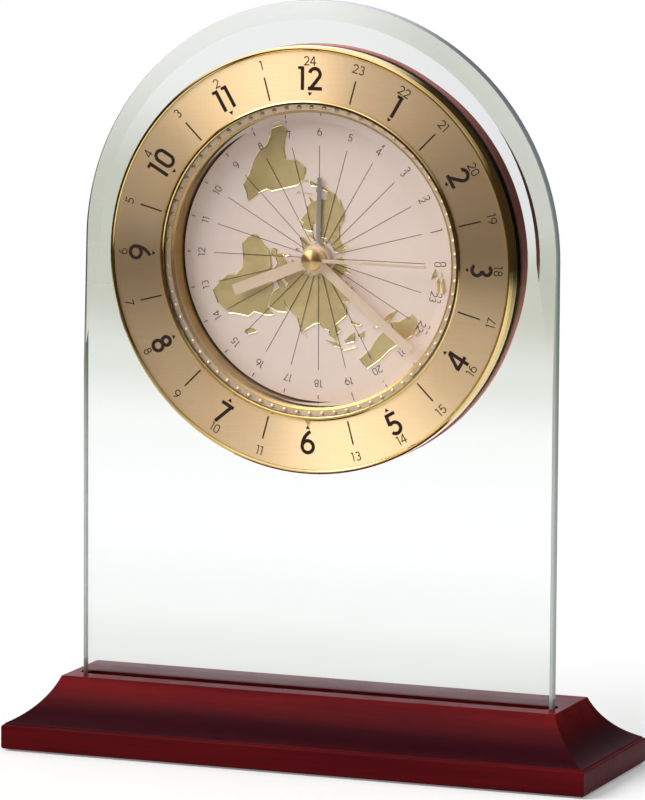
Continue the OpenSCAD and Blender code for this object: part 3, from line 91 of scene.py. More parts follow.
class Wiring:
    """Short ways to place and join nodes in one tree."""

    def __init__(self, tree: Tree) -> None:
        """Keeps the tree, emptied."""
        self.tree = tree
        tree.nodes.clear()

    def node(self, kind: str, values: dict[str, object] | None = None, **settings: object) -> Node:
        """Adds a node.

        Args:
            kind: The node's Blender type.
            values: Values or source sockets for its inputs, by input name.
            settings: Attributes of the node.

        Returns:
            The node.
        """
        made = self.tree.nodes.new(kind)
        for name, value in settings.items():
            setattr(made, name, value)
        for name, value in (values or {}).items():
            self.feed(made.inputs[name], value)
        return made

    def feed(self, socket: Socket, value: object) -> None:
        """Links a socket into another, or sets the other's plain value.

        Args:
            socket: The input to feed.
            value: A source socket, or a plain value; a colour is a tuple of three.
        """
        if isinstance(value, bpy.types.NodeSocket):
            self.tree.links.new(value, socket)
        elif isinstance(value, tuple) and len(value) == 3 and socket.type == "RGBA":
            socket.default_value = (*value, 1.0)
        else:
            socket.default_value = value

    def math(self, operation: str, *values: object, clamp: bool = False) -> Socket:
        """Adds a Math node.

        Args:
            operation: Its operation.
            values: Numbers or sockets, in order.
            clamp: Whether the result stays between 0 and 1.

        Returns:
            Its result.
        """
        made = self.tree.nodes.new("ShaderNodeMath")
        made.operation = operation
        made.use_clamp = clamp
        for socket, value in zip(made.inputs, values):
            self.feed(socket, value)
        return made.outputs[0]

    def ramp(
        self, value: Socket, low: float, high: float, to_low: float = 0.0, to_high: float = 1.0
    ) -> Socket:
        """Maps a value from one range to another, clamped and smooth at both ends.

        Args:
            value: The value.
            low: Where the range starts.
            high: Where it ends.
            to_low: The result at its start.
            to_high: The result at its end.

        Returns:
            The mapped value.
        """
        made = self.node(
            "ShaderNodeMapRange",
            {"Value": value, "From Min": low, "From Max": high, "To Min": to_low, "To Max": to_high},
            interpolation_type="SMOOTHSTEP",
        )
        return made.outputs["Result"]

    def mix(self, factor: object, first: object, second: object) -> Socket:
        """Mixes two colours.

        Args:
            factor: How much of the second, a number or a socket.
            first: The first colour or socket.
            second: The second colour or socket.

        Returns:
            The mixed colour.
        """
        made = self.tree.nodes.new("ShaderNodeMix")
        made.data_type = "RGBA"
        self.feed(made.inputs[0], factor)
        self.feed(made.inputs[6], first)
        self.feed(made.inputs[7], second)
        return made.outputs[2]

    def stops(self, value: Socket, colours: tuple[tuple[float, Colour], ...]) -> Socket:
        """Turns a value into a colour through a ramp of stops.

        Args:
            value: The value, 0 to 1.
            colours: Place and colour of each stop, in order.

        Returns:
            The colour.
        """
        made = self.tree.nodes.new("ShaderNodeValToRGB")
        ramp = made.color_ramp
        ramp.interpolation = "EASE"
        while len(ramp.elements) < len(colours):
            ramp.elements.new(1.0)
        for element, (place, _) in zip(ramp.elements, colours):
            element.position = place
        for element, (_, colour) in zip(ramp.elements, colours):
            element.color = (*colour, 1.0)
        self.feed(made.inputs[0], value)
        return made.outputs[0]

    def either(self, factor: object, first: Node, second: Node) -> Node:
        """Mixes two shader nodes.

        Args:
            factor: How much of the second, a number or a socket.
            first: The first shader node.
            second: The second shader node.

        Returns:
            The mixing node.
        """
        made = self.tree.nodes.new("ShaderNodeMixShader")
        self.feed(made.inputs[0], factor)
        self.feed(made.inputs[1], first.outputs[0])
        self.feed(made.inputs[2], second.outputs[0])
        return made

    def stretched(self, place: Socket, scale: tuple[float, float, float]) -> Socket:
        """Stretches a place, for noise drawn out along one axis.

        Args:
            place: The place on the surface.
            scale: How much each axis is multiplied.

        Returns:
            The stretched place.
        """
        made = self.node("ShaderNodeVectorMath", {"Vector": place}, operation="MULTIPLY")
        made.inputs[1].default_value = scale
        return made.outputs[0]

    def bumped(self, height: Socket, strength: float, distance: float) -> Socket:
        """Turns a height into a normal.

        Args:
            height: The height, 0 to 1.
            strength: How much of it shows.
            distance: The depth that a height of 1 stands for, in metres.

        Returns:
            The normal.
        """
        made = self.node("ShaderNodeBump", {"Height": height, "Strength": strength, "Distance": distance})
        return made.outputs[0]

    def seen_and_mirrored(self) -> tuple[Socket, Socket]:
        """Tells how a ray came here.

        Returns:
            1 for a ray straight from the eye or straight through glass, and 1 for a ray off a gloss.
        """
        path = self.node("ShaderNodeLightPath")
        straight = self.math("LESS_THAN", path.outputs["Glossy Depth"], 0.5)
        through = self.math("MULTIPLY", path.outputs["Is Transmission Ray"], straight)
        seen = self.math("MAXIMUM", path.outputs["Is Camera Ray"], through)
        return seen, self.math("GREATER_THAN", path.outputs["Glossy Depth"], 0.5)

    def noise(self, vector: Socket, scale: object, detail: float = 2.0, roughness: float = 0.5) -> Socket:
        """Adds a noise texture and returns its value, 0 to 1."""
        made = self.node(
            "ShaderNodeTexNoise",
            {"Vector": vector, "Scale": scale, "Detail": detail, "Roughness": roughness},
        )
        return made.outputs[0]


class EffectGroup:
    """A shader node group with named inputs and outputs, built once and placed in many materials."""

    def __init__(self, name: str, inputs: dict[str, object], outputs: dict[str, str]) -> None:
        """Makes the group's sockets.

        Args:
            name: The group's name.
            inputs: Default value of each input; a colour is a tuple.
            outputs: Kind of each output, Float, Color or Vector.
        """
        self.tree = bpy.data.node_groups.new(name, "ShaderNodeTree")
        self.wiring = Wiring(self.tree)
        for label, default in inputs.items():
            kind = "NodeSocketColor" if isinstance(default, tuple) else "NodeSocketFloat"
            socket = self.tree.interface.new_socket(name=label, in_out="INPUT", socket_type=kind)
            socket.default_value = (*default, 1.0) if isinstance(default, tuple) else default
        for label, kind in outputs.items():
            self.tree.interface.new_socket(name=label, in_out="OUTPUT", socket_type=f"NodeSocket{kind}")
        self.source = self.tree.nodes.new("NodeGroupInput")
        self.sink = self.tree.nodes.new("NodeGroupOutput")

    def taken(self, label: str) -> Socket:
        """The socket inside the group that carries an input."""
        return self.source.outputs[label]

    def give(self, label: str, value: object) -> None:
        """Feeds one of the group's outputs."""
        self.wiring.feed(self.sink.inputs[label], value)

    def place(self, wiring: Wiring, **values: object) -> Node:
        """Places the group in a material.

        Args:
            wiring: The material's wiring.
            values: Its inputs, with _ for each space in a name.

        Returns:
            The group node.
        """
        made = wiring.node("ShaderNodeGroup", node_tree=self.tree)
        for label, value in values.items():
            wiring.feed(made.inputs[label.replace("_", " ")], value)
        return made


def clouding_group() -> EffectGroup:
    """Slow changes of tint over a surface, as handling, plating and firing leave.

    Returns:
        The group.
    """
    group = EffectGroup(
        "Clouding",
        {"Light": (0.8, 0.8, 0.8), "Dark": (0.6, 0.6, 0.6), "Patches": 40.0, "Strength": 1.0},
        {"Color": "Color"},
    )
    w = group.wiring
    place = w.node("ShaderNodeTexCoord").outputs["Object"]
    mask = w.ramp(w.noise(place, group.taken("Patches"), 4.0, 0.6), 0.32, 0.68)
    mask = w.math("MULTIPLY", mask, group.taken("Strength"))
    group.give("Color", w.mix(mask, group.taken("Light"), group.taken("Dark")))
    return group


def handling_group() -> EffectGroup:
    """Uneven gloss: faint smears and settled dust that open up the polish in places.

    Returns:
        The group.
    """
    group = EffectGroup(
        "Handling",
        {"Polish": 0.2, "Spread": 0.1, "Smears": 60.0},
        {"Roughness": "Float"},
    )
    w = group.wiring
    place = w.node("ShaderNodeTexCoord").outputs["Object"]
    smear = w.ramp(w.noise(place, group.taken("Smears"), 5.0, 0.62), 0.42, 0.72)
    speck = w.ramp(w.noise(place, 2600.0, 1.0), 0.66, 0.8)
    dust = w.math("MULTIPLY", speck, smear)
    open_by = w.math("MULTIPLY", group.taken("Spread"), w.math("ADD", smear, w.math("MULTIPLY", dust, 0.6)))
    group.give("Roughness", w.math("ADD", group.taken("Polish"), open_by, clamp=True))
    return group


def streak_group() -> EffectGroup:
    """Fine straight brushing along X, with a weaker cross hatch over it.

    Returns:
        The group.
    """
    group = EffectGroup(
        "Straight brushing",
        {"Fineness": 1.0, "Hatch": 0.4},
        {"Height": "Float", "Mask": "Float"},
    )
    w = group.wiring
    place = w.node("ShaderNodeTexCoord").outputs["Object"]

    def lines(along: float, across: float) -> Socket:
        """Noise drawn out along one axis."""
        return w.noise(w.stretched(place, (along, 40.0, across)), group.taken("Fineness"), 3.0, 0.65)

    level = lines(90.0, 4200.0)
    upright = lines(4200.0, 90.0)
    both = w.math("ADD", level, w.math("MULTIPLY", upright, group.taken("Hatch")))
    height = w.math("DIVIDE", both, w.math("ADD", group.taken("Hatch"), 1.0))
    group.give("Height", height)
    group.give("Mask", w.ramp(height, 0.36, 0.64))
    return group


def turning_group() -> EffectGroup:
    """Fine rings round the dial's axis, as a lathe leaves them.

    Returns:
        The group.
    """
    group = EffectGroup(
        "Turning",
        {"Axis Height": 0.15, "Lines": 900.0},
        {"Height": "Float", "Mask": "Float"},
    )
    w = group.wiring
    place = w.node("ShaderNodeSeparateXYZ", {"Vector": w.node("ShaderNodeTexCoord").outputs["Object"]})
    rise = w.math("SUBTRACT", place.outputs["Z"], group.taken("Axis Height"))
    squares = w.math("ADD", w.math("POWER", place.outputs["X"], 2.0), w.math("POWER", rise, 2.0))
    reading = w.node("ShaderNodeCombineXYZ", {"X": w.math("SQRT", squares), "Y": place.outputs["Y"]})
    height = w.noise(reading.outputs[0], group.taken("Lines"), 3.0, 0.7)
    group.give("Height", height)
    group.give("Mask", w.ramp(height, 0.35, 0.65))
    return group


def moulding_group() -> EffectGroup:
    """Pebbled skin of moulded plastic, rubber and paint.

    Returns:
        The group.
    """
    group = EffectGroup("Moulding skin", {"Grain": 900.0}, {"Height": "Float", "Mask": "Float"})
    w = group.wiring
    place = w.node("ShaderNodeTexCoord").outputs["Object"]
    grain = group.taken("Grain")
    cells = w.node("ShaderNodeTexVoronoi", {"Vector": place, "Scale": grain}, feature="SMOOTH_F1")
    fine = w.noise(place, w.math("MULTIPLY", grain, 2.3), 2.0)
    both = w.math("ADD", cells.outputs["Distance"], w.math("MULTIPLY", fine, 0.5))
    group.give("Height", both)
    group.give("Mask", w.ramp(both, 0.4, 0.9))
    return group


@dataclass
class Effects:
    """The shared surface effects, each built once."""

    clouding: EffectGroup = field(default_factory=clouding_group)
    handling: EffectGroup = field(default_factory=handling_group)
    streaks: EffectGroup = field(default_factory=streak_group)
    turning: EffectGroup = field(default_factory=turning_group)
    moulding: EffectGroup = field(default_factory=moulding_group)


# Finishes


class Brushing(Enum):
    """How a metal surface was worked."""

    STRAIGHT = "straight"
    TURNED = "turned"
    CAST = "cast"


@dataclass(frozen=True)
class Metal:
    """A bare, plated or lacquered metal."""

    name: str
    light: Colour
    dark: Colour
    polish: float = 0.15
    spread: float = 0.08
    patches: float = 60.0
    clouding: float = 0.5
    brushing: Brushing = Brushing.CAST
    groove: float = 0.0
    anisotropy: float = 0.0
    lines: float = 900.0
    shading: float = 0.3
    # paler colour for faces turned off the front: a painted highlight on the arris
    arris: Colour | None = None
    arris_facing: tuple[float, float] = (0.82, 0.97)
    arris_polish: float = 0.12

    def material(self, effects: Effects, axis_height: float) -> bpy.types.Material:
        """Builds the metal's material.

        Args:
            effects: The shared effects.
            axis_height: Height of the dial's axis, in metres.

        Returns:
            The material.
        """
        made, w, output = blank(self.name)
        tint = effects.clouding.place(
            w, Light=self.light, Dark=self.dark, Patches=self.patches, Strength=self.clouding
        )
        gloss = effects.handling.place(w, Polish=self.polish, Spread=self.spread)
        shader = w.node("ShaderNodeBsdfPrincipled", {"Base Color": tint.outputs["Color"], "Metallic": 1.0})
        w.feed(shader.inputs["Roughness"], gloss.outputs["Roughness"])
        shader.inputs["Anisotropic"].default_value = self.anisotropy
        if self.anisotropy:
            tangent = w.node("ShaderNodeTangent", direction_type="RADIAL", axis="Y")
            w.feed(shader.inputs["Tangent"], tangent.outputs[0])
            shader.inputs["Anisotropic Rotation"].default_value = ROUND_THE_DIAL
        if self.groove:
            if self.brushing is Brushing.STRAIGHT:
                worked = effects.streaks.place(w)
            elif self.brushing is Brushing.TURNED:
                worked = effects.turning.place(w, Axis_Height=axis_height, Lines=self.lines)
            else:
                worked = effects.moulding.place(w, Grain=self.lines)
            w.feed(shader.inputs["Normal"], w.bumped(worked.outputs["Height"], self.groove, TOOL_MARK))
            depth = w.math("MULTIPLY", worked.outputs["Mask"], self.shading)
            shaded = w.mix(depth, tint.outputs["Color"], self.dark)
            w.feed(shader.inputs["Base Color"], shaded)
            # painted highlight: faces turned off the front take the paler arris colour, with a tighter
            # polish
            if self.arris:
                normal = w.node("ShaderNodeTexCoord").outputs["Normal"]
                facing = w.node("ShaderNodeSeparateXYZ", {"Vector": normal})
                turned = w.ramp(w.math("ABSOLUTE", facing.outputs["Y"]), *self.arris_facing, 1.0, 0.0)
                w.feed(shader.inputs["Base Color"], w.mix(turned, shaded, self.arris))
                open_by = w.math("MULTIPLY", gloss.outputs["Roughness"], w.math("SUBTRACT", 1.0, turned))
                w.feed(shader.inputs["Roughness"], w.math("ADD", open_by, self.arris_polish))
        w.feed(output.inputs["Surface"], shader.outputs[0])
        return made


@dataclass(frozen=True)
class Moulded:
    """A plastic, rubber, paint, enamel or print."""

    name: str
    light: Colour
    dark: Colour
    polish: float = 0.4
    spread: float = 0.12
    patches: float = 50.0
    clouding: float = 0.6
    grain: float = 900.0
    depth: float = 0.3
    coat: float = 0.0
    specular: float = 0.5

    def material(self, effects: Effects, axis_height: float) -> bpy.types.Material:
        """Builds the moulded or painted material.

        Args:
            effects: The shared effects.
            axis_height: Height of the dial's axis, unused here.

        Returns:
            The material.
        """
        made, w, output = blank(self.name)
        tint = effects.clouding.place(
            w, Light=self.light, Dark=self.dark, Patches=self.patches, Strength=self.clouding
        )
        gloss = effects.handling.place(w, Polish=self.polish, Spread=self.spread)
        skin = effects.moulding.place(w, Grain=self.grain)
        shader = w.node("ShaderNodeBsdfPrincipled")
        w.feed(shader.inputs["Base Color"], tint.outputs["Color"])
        w.feed(shader.inputs["Roughness"], gloss.outputs["Roughness"])
        w.feed(shader.inputs["Normal"], w.bumped(skin.outputs["Height"], self.depth, SKIN_MARK))
        shader.inputs["Specular IOR Level"].default_value = self.specular
        shader.inputs["Coat Weight"].default_value = self.coat
        shader.inputs["Coat Roughness"].default_value = 0.1
        w.feed(output.inputs["Surface"], shader.outputs[0])
        return made


@dataclass(frozen=True)
class ClearGlass:
    """Clear glass that lets the lamps through, with an even tint, or with painted shade and reflection laid
    into the panel's tint.
    """

    name: str
    tint: Colour = (1.0, 1.0, 1.0)
    polish: float = 0.0
    heights: tuple[tuple[float, Colour], ...] = ()
    cool: Colour = (1.0, 1.0, 1.0)
    bevel_foot: Colour = (1.0, 1.0, 1.0)
    bevel_crown: Colour = (1.0, 1.0, 1.0)
    bevel_shade: Colour = (1.0, 1.0, 1.0)
    reach: float = 0.226
    cool_rise: tuple[float, float] = (-0.004, 0.014)
    cool_across: tuple[float, float] = (0.0, 0.05)
    crown_rise: float = 0.024
    bevel_shade_across: tuple[float, float] = (-0.005, 0.04)
    bevel_fade: float = 0.03
    bevel_facing: tuple[float, float] = (0.955, 0.985)

    def material(self, effects: Effects, axis_height: float) -> bpy.types.Material:
        """Builds the glass.

        Args:
            effects: The shared effects.
            axis_height: Height of the dial's axis, in metres.

        Returns:
            The material.
        """
        made, w, output = blank(self.name)
        shader = w.node("ShaderNodeBsdfPrincipled")
        shader.inputs["Roughness"].default_value = self.polish
        shader.inputs["IOR"].default_value = 1.52
        shader.inputs["Transmission Weight"].default_value = 1.0
        clear = w.node("ShaderNodeBsdfTransparent")
        tint: object = self.tint
        if self.heights:
            # painted shade and reflection laid into the panel's tint
            tint = self._painted_light_and_shade(w, axis_height)
        w.feed(shader.inputs["Base Color"], tint)
        w.feed(clear.inputs["Color"], tint)
        path = w.node("ShaderNodeLightPath")
        through = w.math("MAXIMUM", path.outputs["Is Shadow Ray"], path.outputs["Is Diffuse Ray"])
        w.feed(output.inputs["Surface"], w.either(through, shader, clear).outputs[0])
        return made

    def _painted_light_and_shade(self, w: Wiring, axis_height: float) -> Socket:
        """Paints shade and reflection into the panel's tint: by height, cooler to the right of the dial,
        greyer on the bevel and darker on its right side.

        Args:
            w: The material's wiring.
            axis_height: Height of the dial's axis, in metres.

        Returns:
            The tint.
        """
        coordinates = w.node("ShaderNodeTexCoord")
        place = w.node("ShaderNodeSeparateXYZ", {"Vector": coordinates.outputs["Object"]})
        across, height = place.outputs["X"], place.outputs["Z"]
        # painted shade and reflection: the tint stops by height
        stops = tuple((level / self.reach, colour) for level, colour in self.heights)
        tint = w.stops(w.math("DIVIDE", height, self.reach), stops)
        # painted reflection: a cooler tint to the right of the dial
        low, high = (axis_height + rise for rise in self.cool_rise)
        beside = w.math("MULTIPLY", w.ramp(height, low, high), w.ramp(across, *self.cool_across))
        tint = w.mix(w.math("MULTIPLY", beside, 0.9), tint, self.cool)
        # painted reflection on the bevel, and painted shade on its right side
        rise = w.ramp(height, axis_height + self.crown_rise, self.reach)
        slope = w.mix(rise, self.bevel_foot, self.bevel_crown)
        slope = w.mix(w.ramp(across, *self.bevel_shade_across), slope, self.bevel_shade)
        facing = w.node("ShaderNodeSeparateXYZ", {"Vector": coordinates.outputs["Normal"]})
        sloped = w.ramp(w.math("ABSOLUTE", facing.outputs["Y"]), *self.bevel_facing, 1.0, 0.0)
        above = w.ramp(height, axis_height - self.bevel_fade, axis_height)
        return w.mix(w.math("MULTIPLY", sloped, above), tint, slope)


@dataclass(frozen=True)
class GroundEdge:
    """The polished edge of the glass: pale at the front, green through its thickness at the back."""

    name: str = "panel_edge"
    front: Colour = srgb(206, 214, 204)
    back: Colour = srgb(136, 156, 142)
    crown: Colour = srgb(150, 160, 172)
    depths: tuple[float, float] = (-0.0064, -0.0036)
    crown_rise: tuple[float, float] = (-0.02, 0.05)

    def material(self, effects: Effects, axis_height: float) -> bpy.types.Material:
        """Builds the edge.

        Args:
            effects: The shared effects.
            axis_height: Height of the dial's axis, in metres.

        Returns:
            The material.
        """
        made, w, output = blank(self.name)
        place = w.node("ShaderNodeSeparateXYZ", {"Vector": w.node("ShaderNodeTexCoord").outputs["Object"]})
        tint = w.mix(w.ramp(place.outputs["Y"], *self.depths), self.front, self.back)
        low, high = (axis_height + rise for rise in self.crown_rise)
        crown = w.ramp(place.outputs["Z"], low, high)
        tint = w.mix(w.math("MULTIPLY", crown, 0.7), tint, self.crown)
        gloss = effects.handling.place(w, Polish=0.16, Spread=0.1)
        shader = w.node("ShaderNodeBsdfPrincipled")
        w.feed(shader.inputs["Base Color"], tint)
        w.feed(shader.inputs["Roughness"], gloss.outputs["Roughness"])
        w.feed(output.inputs["Surface"], shader.outputs[0])
        return made


@dataclass(frozen=True)
class LacqueredWood:
    """Red stained wood under satin lacquer, with painted shade laid dark low in the cove of the moulding
    and, more lightly, over the lip.
    """

    name: str = "mahogany"
    light: Colour = srgb(112, 20, 21)
    dark: Colour = srgb(82, 13, 19)
    # colour of the painted shade in the cove and on the lip
    cove_shade: Colour = srgb(26, 5, 14)
    pore: Colour = srgb(30, 7, 12)
    polish: float = 0.3
    figure_scale: tuple[float, float, float] = (9.0, 160.0, 160.0)
    pore_scale: tuple[float, float, float] = (70.0, 2200.0, 2200.0)
    cove_shade_z: tuple[float, float, float] = (0.0082, 0.0112, 0.0205)
    step: float = 0.0004

    def material(self, effects: Effects, axis_height: float) -> bpy.types.Material:
        """Builds the stained wood, its grain running along X.

        Args:
            effects: The shared effects.
            axis_height: Height of the dial's axis, unused here.

        Returns:
            The material.
        """
        made, w, output = blank(self.name)
        place = w.node("ShaderNodeTexCoord").outputs["Object"]
        figure = w.ramp(w.noise(w.stretched(place, self.figure_scale), 1.0, 5.0, 0.62), 0.3, 0.72)
        pore = w.ramp(w.noise(w.stretched(place, self.pore_scale), 1.0, 2.0, 0.6), 0.6, 0.76)
        stain_and_shade = w.mix(figure, self.light, self.dark)
        height = w.node("ShaderNodeSeparateXYZ", {"Vector": place}).outputs["Z"]
        # painted shade: darkest at the foot of the cove, fading out up it
        low, middle, high = self.cove_shade_z
        above_lip = w.ramp(height, low, low + self.step)
        painted_cove_shade = w.math("MULTIPLY", above_lip, w.ramp(height, middle, high, 1.0, 0.0))
        stain_and_shade = w.mix(w.math("MULTIPLY", painted_cove_shade, 0.85), stain_and_shade, self.cove_shade)
        # painted shade over the lip, at 0.38 of the shade colour
        stain_and_shade = w.mix(w.ramp(height, low, low + self.step, 0.38, 0.0), stain_and_shade, self.cove_shade)
        stain_and_shade = w.mix(w.math("MULTIPLY", pore, 0.3), stain_and_shade, self.pore)
        gloss = effects.handling.place(w, Polish=self.polish, Spread=0.08, Smears=45.0)
        shader = w.node("ShaderNodeBsdfPrincipled")
        w.feed(shader.inputs["Base Color"], stain_and_shade)
        w.feed(shader.inputs["Roughness"], gloss.outputs["Roughness"])
        w.feed(shader.inputs["Normal"], w.bumped(w.math("SUBTRACT", 1.0, pore), 0.05, TOOL_MARK))
        shader.inputs["Specular IOR Level"].default_value = 0.02
        w.feed(output.inputs["Surface"], shader.outputs[0])
        return made


@dataclass(frozen=True)
class Felt:
    """Short matted fibre."""

    name: str = "felt"
    light: Colour = srgb(40, 52, 44)
    dark: Colour = srgb(22, 30, 26)

    def material(self, effects: Effects, axis_height: float) -> bpy.types.Material:
        """Builds the felt.

        Args:
            effects: The shared effects.
            axis_height: Height of the dial's axis, unused here.

        Returns:
            The material.
        """
        made, w, output = blank(self.name)
        place = w.node("ShaderNodeTexCoord").outputs["Object"]
        fibre = w.noise(place, 1800.0, 6.0, 0.7)
        tint = effects.clouding.place(w, Light=self.light, Dark=self.dark, Patches=260.0, Strength=1.0)
        shader = w.node("ShaderNodeBsdfPrincipled")
        lit = w.mix(w.math("MULTIPLY", fibre, 0.5), tint.outputs["Color"], self.light)
        w.feed(shader.inputs["Base Color"], lit)
        w.feed(shader.inputs["Roughness"], w.ramp(fibre, 0.2, 0.8, 0.85, 1.0))
        w.feed(shader.inputs["Normal"], w.bumped(fibre, 0.8, FIBRE_MARK))
        shader.inputs["Sheen Weight"].default_value = 0.4
        w.feed(output.inputs["Surface"], shader.outputs[0])
        return made


Finish = Metal | Moulded | ClearGlass | GroundEdge | LacqueredWood | Felt


def blank(name: str) -> tuple[bpy.types.Material, Wiring, Node]:
    """Makes an empty node material.

    Args:
        name: The material's name.

    Returns:
        The material, the wiring of its tree, and its output node.
    """
    made = bpy.data.materials.new(name)
    made.use_nodes = True
    wiring = Wiring(made.node_tree)
    output = wiring.node("ShaderNodeOutputMaterial")
    return made, wiring, output


FINISHES: tuple[Finish, ...] = (
    LacqueredWood(),
    Felt(),
    Moulded("clear_bedding", srgb(84, 26, 30), srgb(58, 16, 22), polish=0.28, depth=0.1),
    ClearGlass(
        "panel_glass",
        # painted shade and reflection: the panel's tint by height
        heights=(
            (0.0210, srgb(222, 224, 219)),
            (0.0300, srgb(232, 235, 231)),
            (0.0450, srgb(244, 246, 244)),
            (0.0700, srgb(252, 254, 253)),
            (0.0980, srgb(250, 252, 250)),
            (0.1180, srgb(229, 233, 226)),
            (0.1380, srgb(205, 208, 194)),
            (0.1700, srgb(204, 208, 194)),
            (0.2050, srgb(245, 248, 246)),
        ),
        # painted reflection beside the dial and on the bevel, and painted shade on the bevel's right side
        cool=srgb(238, 240, 241),
        bevel_foot=srgb(197, 199, 187),
        bevel_crown=srgb(229, 232, 226),
        bevel_shade=srgb(184, 187, 172),
    ),
    GroundEdge(),
    Metal("polished_brass", srgb(232, 206, 136), srgb(206, 176, 104), polish=0.07, spread=0.05,
          clouding=0.4, brushing=Brushing.TURNED, groove=0.04, lines=2400.0, shading=0.1),
    Moulded("black_rubber", srgb(28, 28, 28), srgb(18, 18, 18), polish=0.7, grain=1500.0),
    Metal("brushed_brass", srgb(255, 228, 178), srgb(252, 208, 152), polish=0.4, spread=0.04, clouding=0.3,
          brushing=Brushing.STRAIGHT, groove=0.1, anisotropy=0.95, shading=0.35),
    Moulded("black_print", srgb(44, 26, 20), srgb(32, 18, 15), polish=0.6, grain=3000.0, depth=0.15,
            specular=0.2),
    ClearGlass("crystal_glass", tint=(0.985, 0.985, 0.98)),
    Metal("well_brass", srgb(206, 178, 112), srgb(176, 144, 82), polish=0.34, spread=0.1,
          brushing=Brushing.TURNED, groove=0.08, lines=1500.0),
    Moulded("case_paint", srgb(96, 48, 42), srgb(70, 34, 32), polish=0.25, depth=0.1, coat=0.3),
    Metal("clamp_paint", srgb(206, 138, 126), srgb(164, 98, 90), polish=0.45, spread=0.08, clouding=0.5),
    Metal("steel", srgb(188, 190, 194), srgb(150, 152, 158), polish=0.25, groove=0.1),
    Moulded("disc_enamel", srgb(242, 223, 213), srgb(233, 212, 201), polish=0.45, spread=0.1, grain=4200.0,
            depth=0.12, patches=30.0, specular=0.3),
    # its arris colour is a painted highlight along the edges of the land
    Metal("relief_brass", srgb(228, 208, 156), srgb(200, 180, 126), polish=0.36, spread=0.08, patches=70.0,
          clouding=0.8, brushing=Brushing.STRAIGHT, groove=0.15, arris=srgb(252, 238, 190)),
    Moulded("dark_print", srgb(74, 56, 50), srgb(54, 40, 36), polish=0.6, grain=3000.0, depth=0.1,
            specular=0.2),
    Moulded("pale_plastic", srgb(222, 220, 210), srgb(206, 202, 190), polish=0.4),
    Metal("silver_metal", srgb(226, 222, 216), srgb(200, 194, 186), polish=0.3, groove=0.15,
          brushing=Brushing.STRAIGHT),
    Metal("rose_brass", srgb(255, 234, 208), srgb(244, 216, 186), polish=0.46, spread=0.08, groove=0.2,
          brushing=Brushing.STRAIGHT),
    Metal("spun_brass", srgb(236, 206, 148), srgb(204, 166, 100), polish=0.36, spread=0.03, groove=0.06,
          brushing=Brushing.TURNED, lines=5000.0, anisotropy=0.95, shading=0.2),
    Metal("bead_gilt", srgb(240, 216, 180), srgb(228, 198, 158), polish=0.42, spread=0.05, patches=300.0),
    Moulded("magnet", srgb(58, 56, 54), srgb(40, 38, 38), polish=0.35),
    Metal("core_steel", srgb(150, 150, 152), srgb(112, 110, 110), polish=0.35, groove=0.2, lines=700.0),
    Metal("copper_wire", srgb(206, 122, 72), srgb(160, 84, 46), polish=0.3, groove=0.8,
          brushing=Brushing.STRAIGHT),
    Moulded("bridge_plastic", srgb(70, 78, 92), srgb(54, 60, 74), polish=0.42),
    Moulded("board_green", srgb(44, 92, 58), srgb(30, 70, 44), polish=0.3, grain=400.0, coat=0.4),
    Moulded("black_plastic", srgb(38, 38, 40), srgb(26, 26, 28), polish=0.45, grain=1100.0, depth=0.5),
    Metal("buzzer_brass", srgb(214, 182, 112), srgb(186, 150, 84), polish=0.25, groove=0.15),
    Moulded("battery_sleeve", srgb(60, 64, 70), srgb(40, 44, 50), polish=0.2, depth=0.05, coat=0.7),
    Moulded("red_plastic", srgb(176, 42, 36), srgb(150, 30, 28), polish=0.4),
)


class Wardrobe:
    """Builds every finish once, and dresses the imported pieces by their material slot."""

    def __init__(self, axis_height: float) -> None:
        """Builds the effects and the materials.

        Args:
            axis_height: Height of the dial's axis, in metres.
        """
        effects = Effects()
        self.materials = {finish.name: finish.material(effects, axis_height) for finish in FINISHES}
        self.slots = {part["node"]: part["material_slot"] for part in frame["record"]["subparts"]}

    def dress(self, *nodes: str) -> None:
        """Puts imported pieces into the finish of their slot.

        Args:
            nodes: Names of the pieces.
        """
        for name in nodes:
            piece = frame["nodes"][name]
            piece.data.materials.clear()
            piece.data.materials.append(self.materials[self.slots[name]])
            log.info("%s wears %s", name, self.slots[name])

    def wear(self, name: str, finish: str) -> None:
        """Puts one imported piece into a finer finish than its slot's own.

        Args:
            name: The piece.
            finish: The finish.
        """
        materials = frame["nodes"][name].data.materials
        materials.clear()
        materials.append(self.materials[finish])

    def finish(self, piece: bpy.types.Object, slot: str, *finishes: str) -> None:
        """Puts a new piece into the finish of a slot, or into the named finishes under that slot.

        Args:
            piece: The new piece.
            slot: The record's slot.
            finishes: Finishes in the order of the piece's material numbers, or none for the slot's own.
        """
        piece.data.materials.clear()
        for name in finishes or (slot,):
            piece.data.materials.append(self.materials[name])


def dial_axis() -> float:
    """The height of the dial's axis, in metres."""
    low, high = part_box("hour_ring")
    return (low.z + high.z) / 2


def linked(name: str, data: bpy.types.ID) -> bpy.types.Object:
    """Makes an object and puts it into the scene.

    Args:
        name: The object's name.
        data: Its mesh, light or camera.

    Returns:
        The object.
    """
    made = bpy.data.objects.new(name, data)
    bpy.context.scene.collection.objects.link(made)
    return made


def stand_in(node: str, name: str, body: str) -> bpy.types.Object:
    """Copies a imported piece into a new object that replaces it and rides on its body.

    Args:
        node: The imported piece.
        name: The new piece's name.
        body: The body that carries it.

    Returns:
        The new object, its mesh free to be worked.
    """
    mesh = frame["nodes"][node].data.copy()
    mesh.name = name
    piece = linked(name, mesh)
    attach(piece, body)
    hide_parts(node)
    return piece


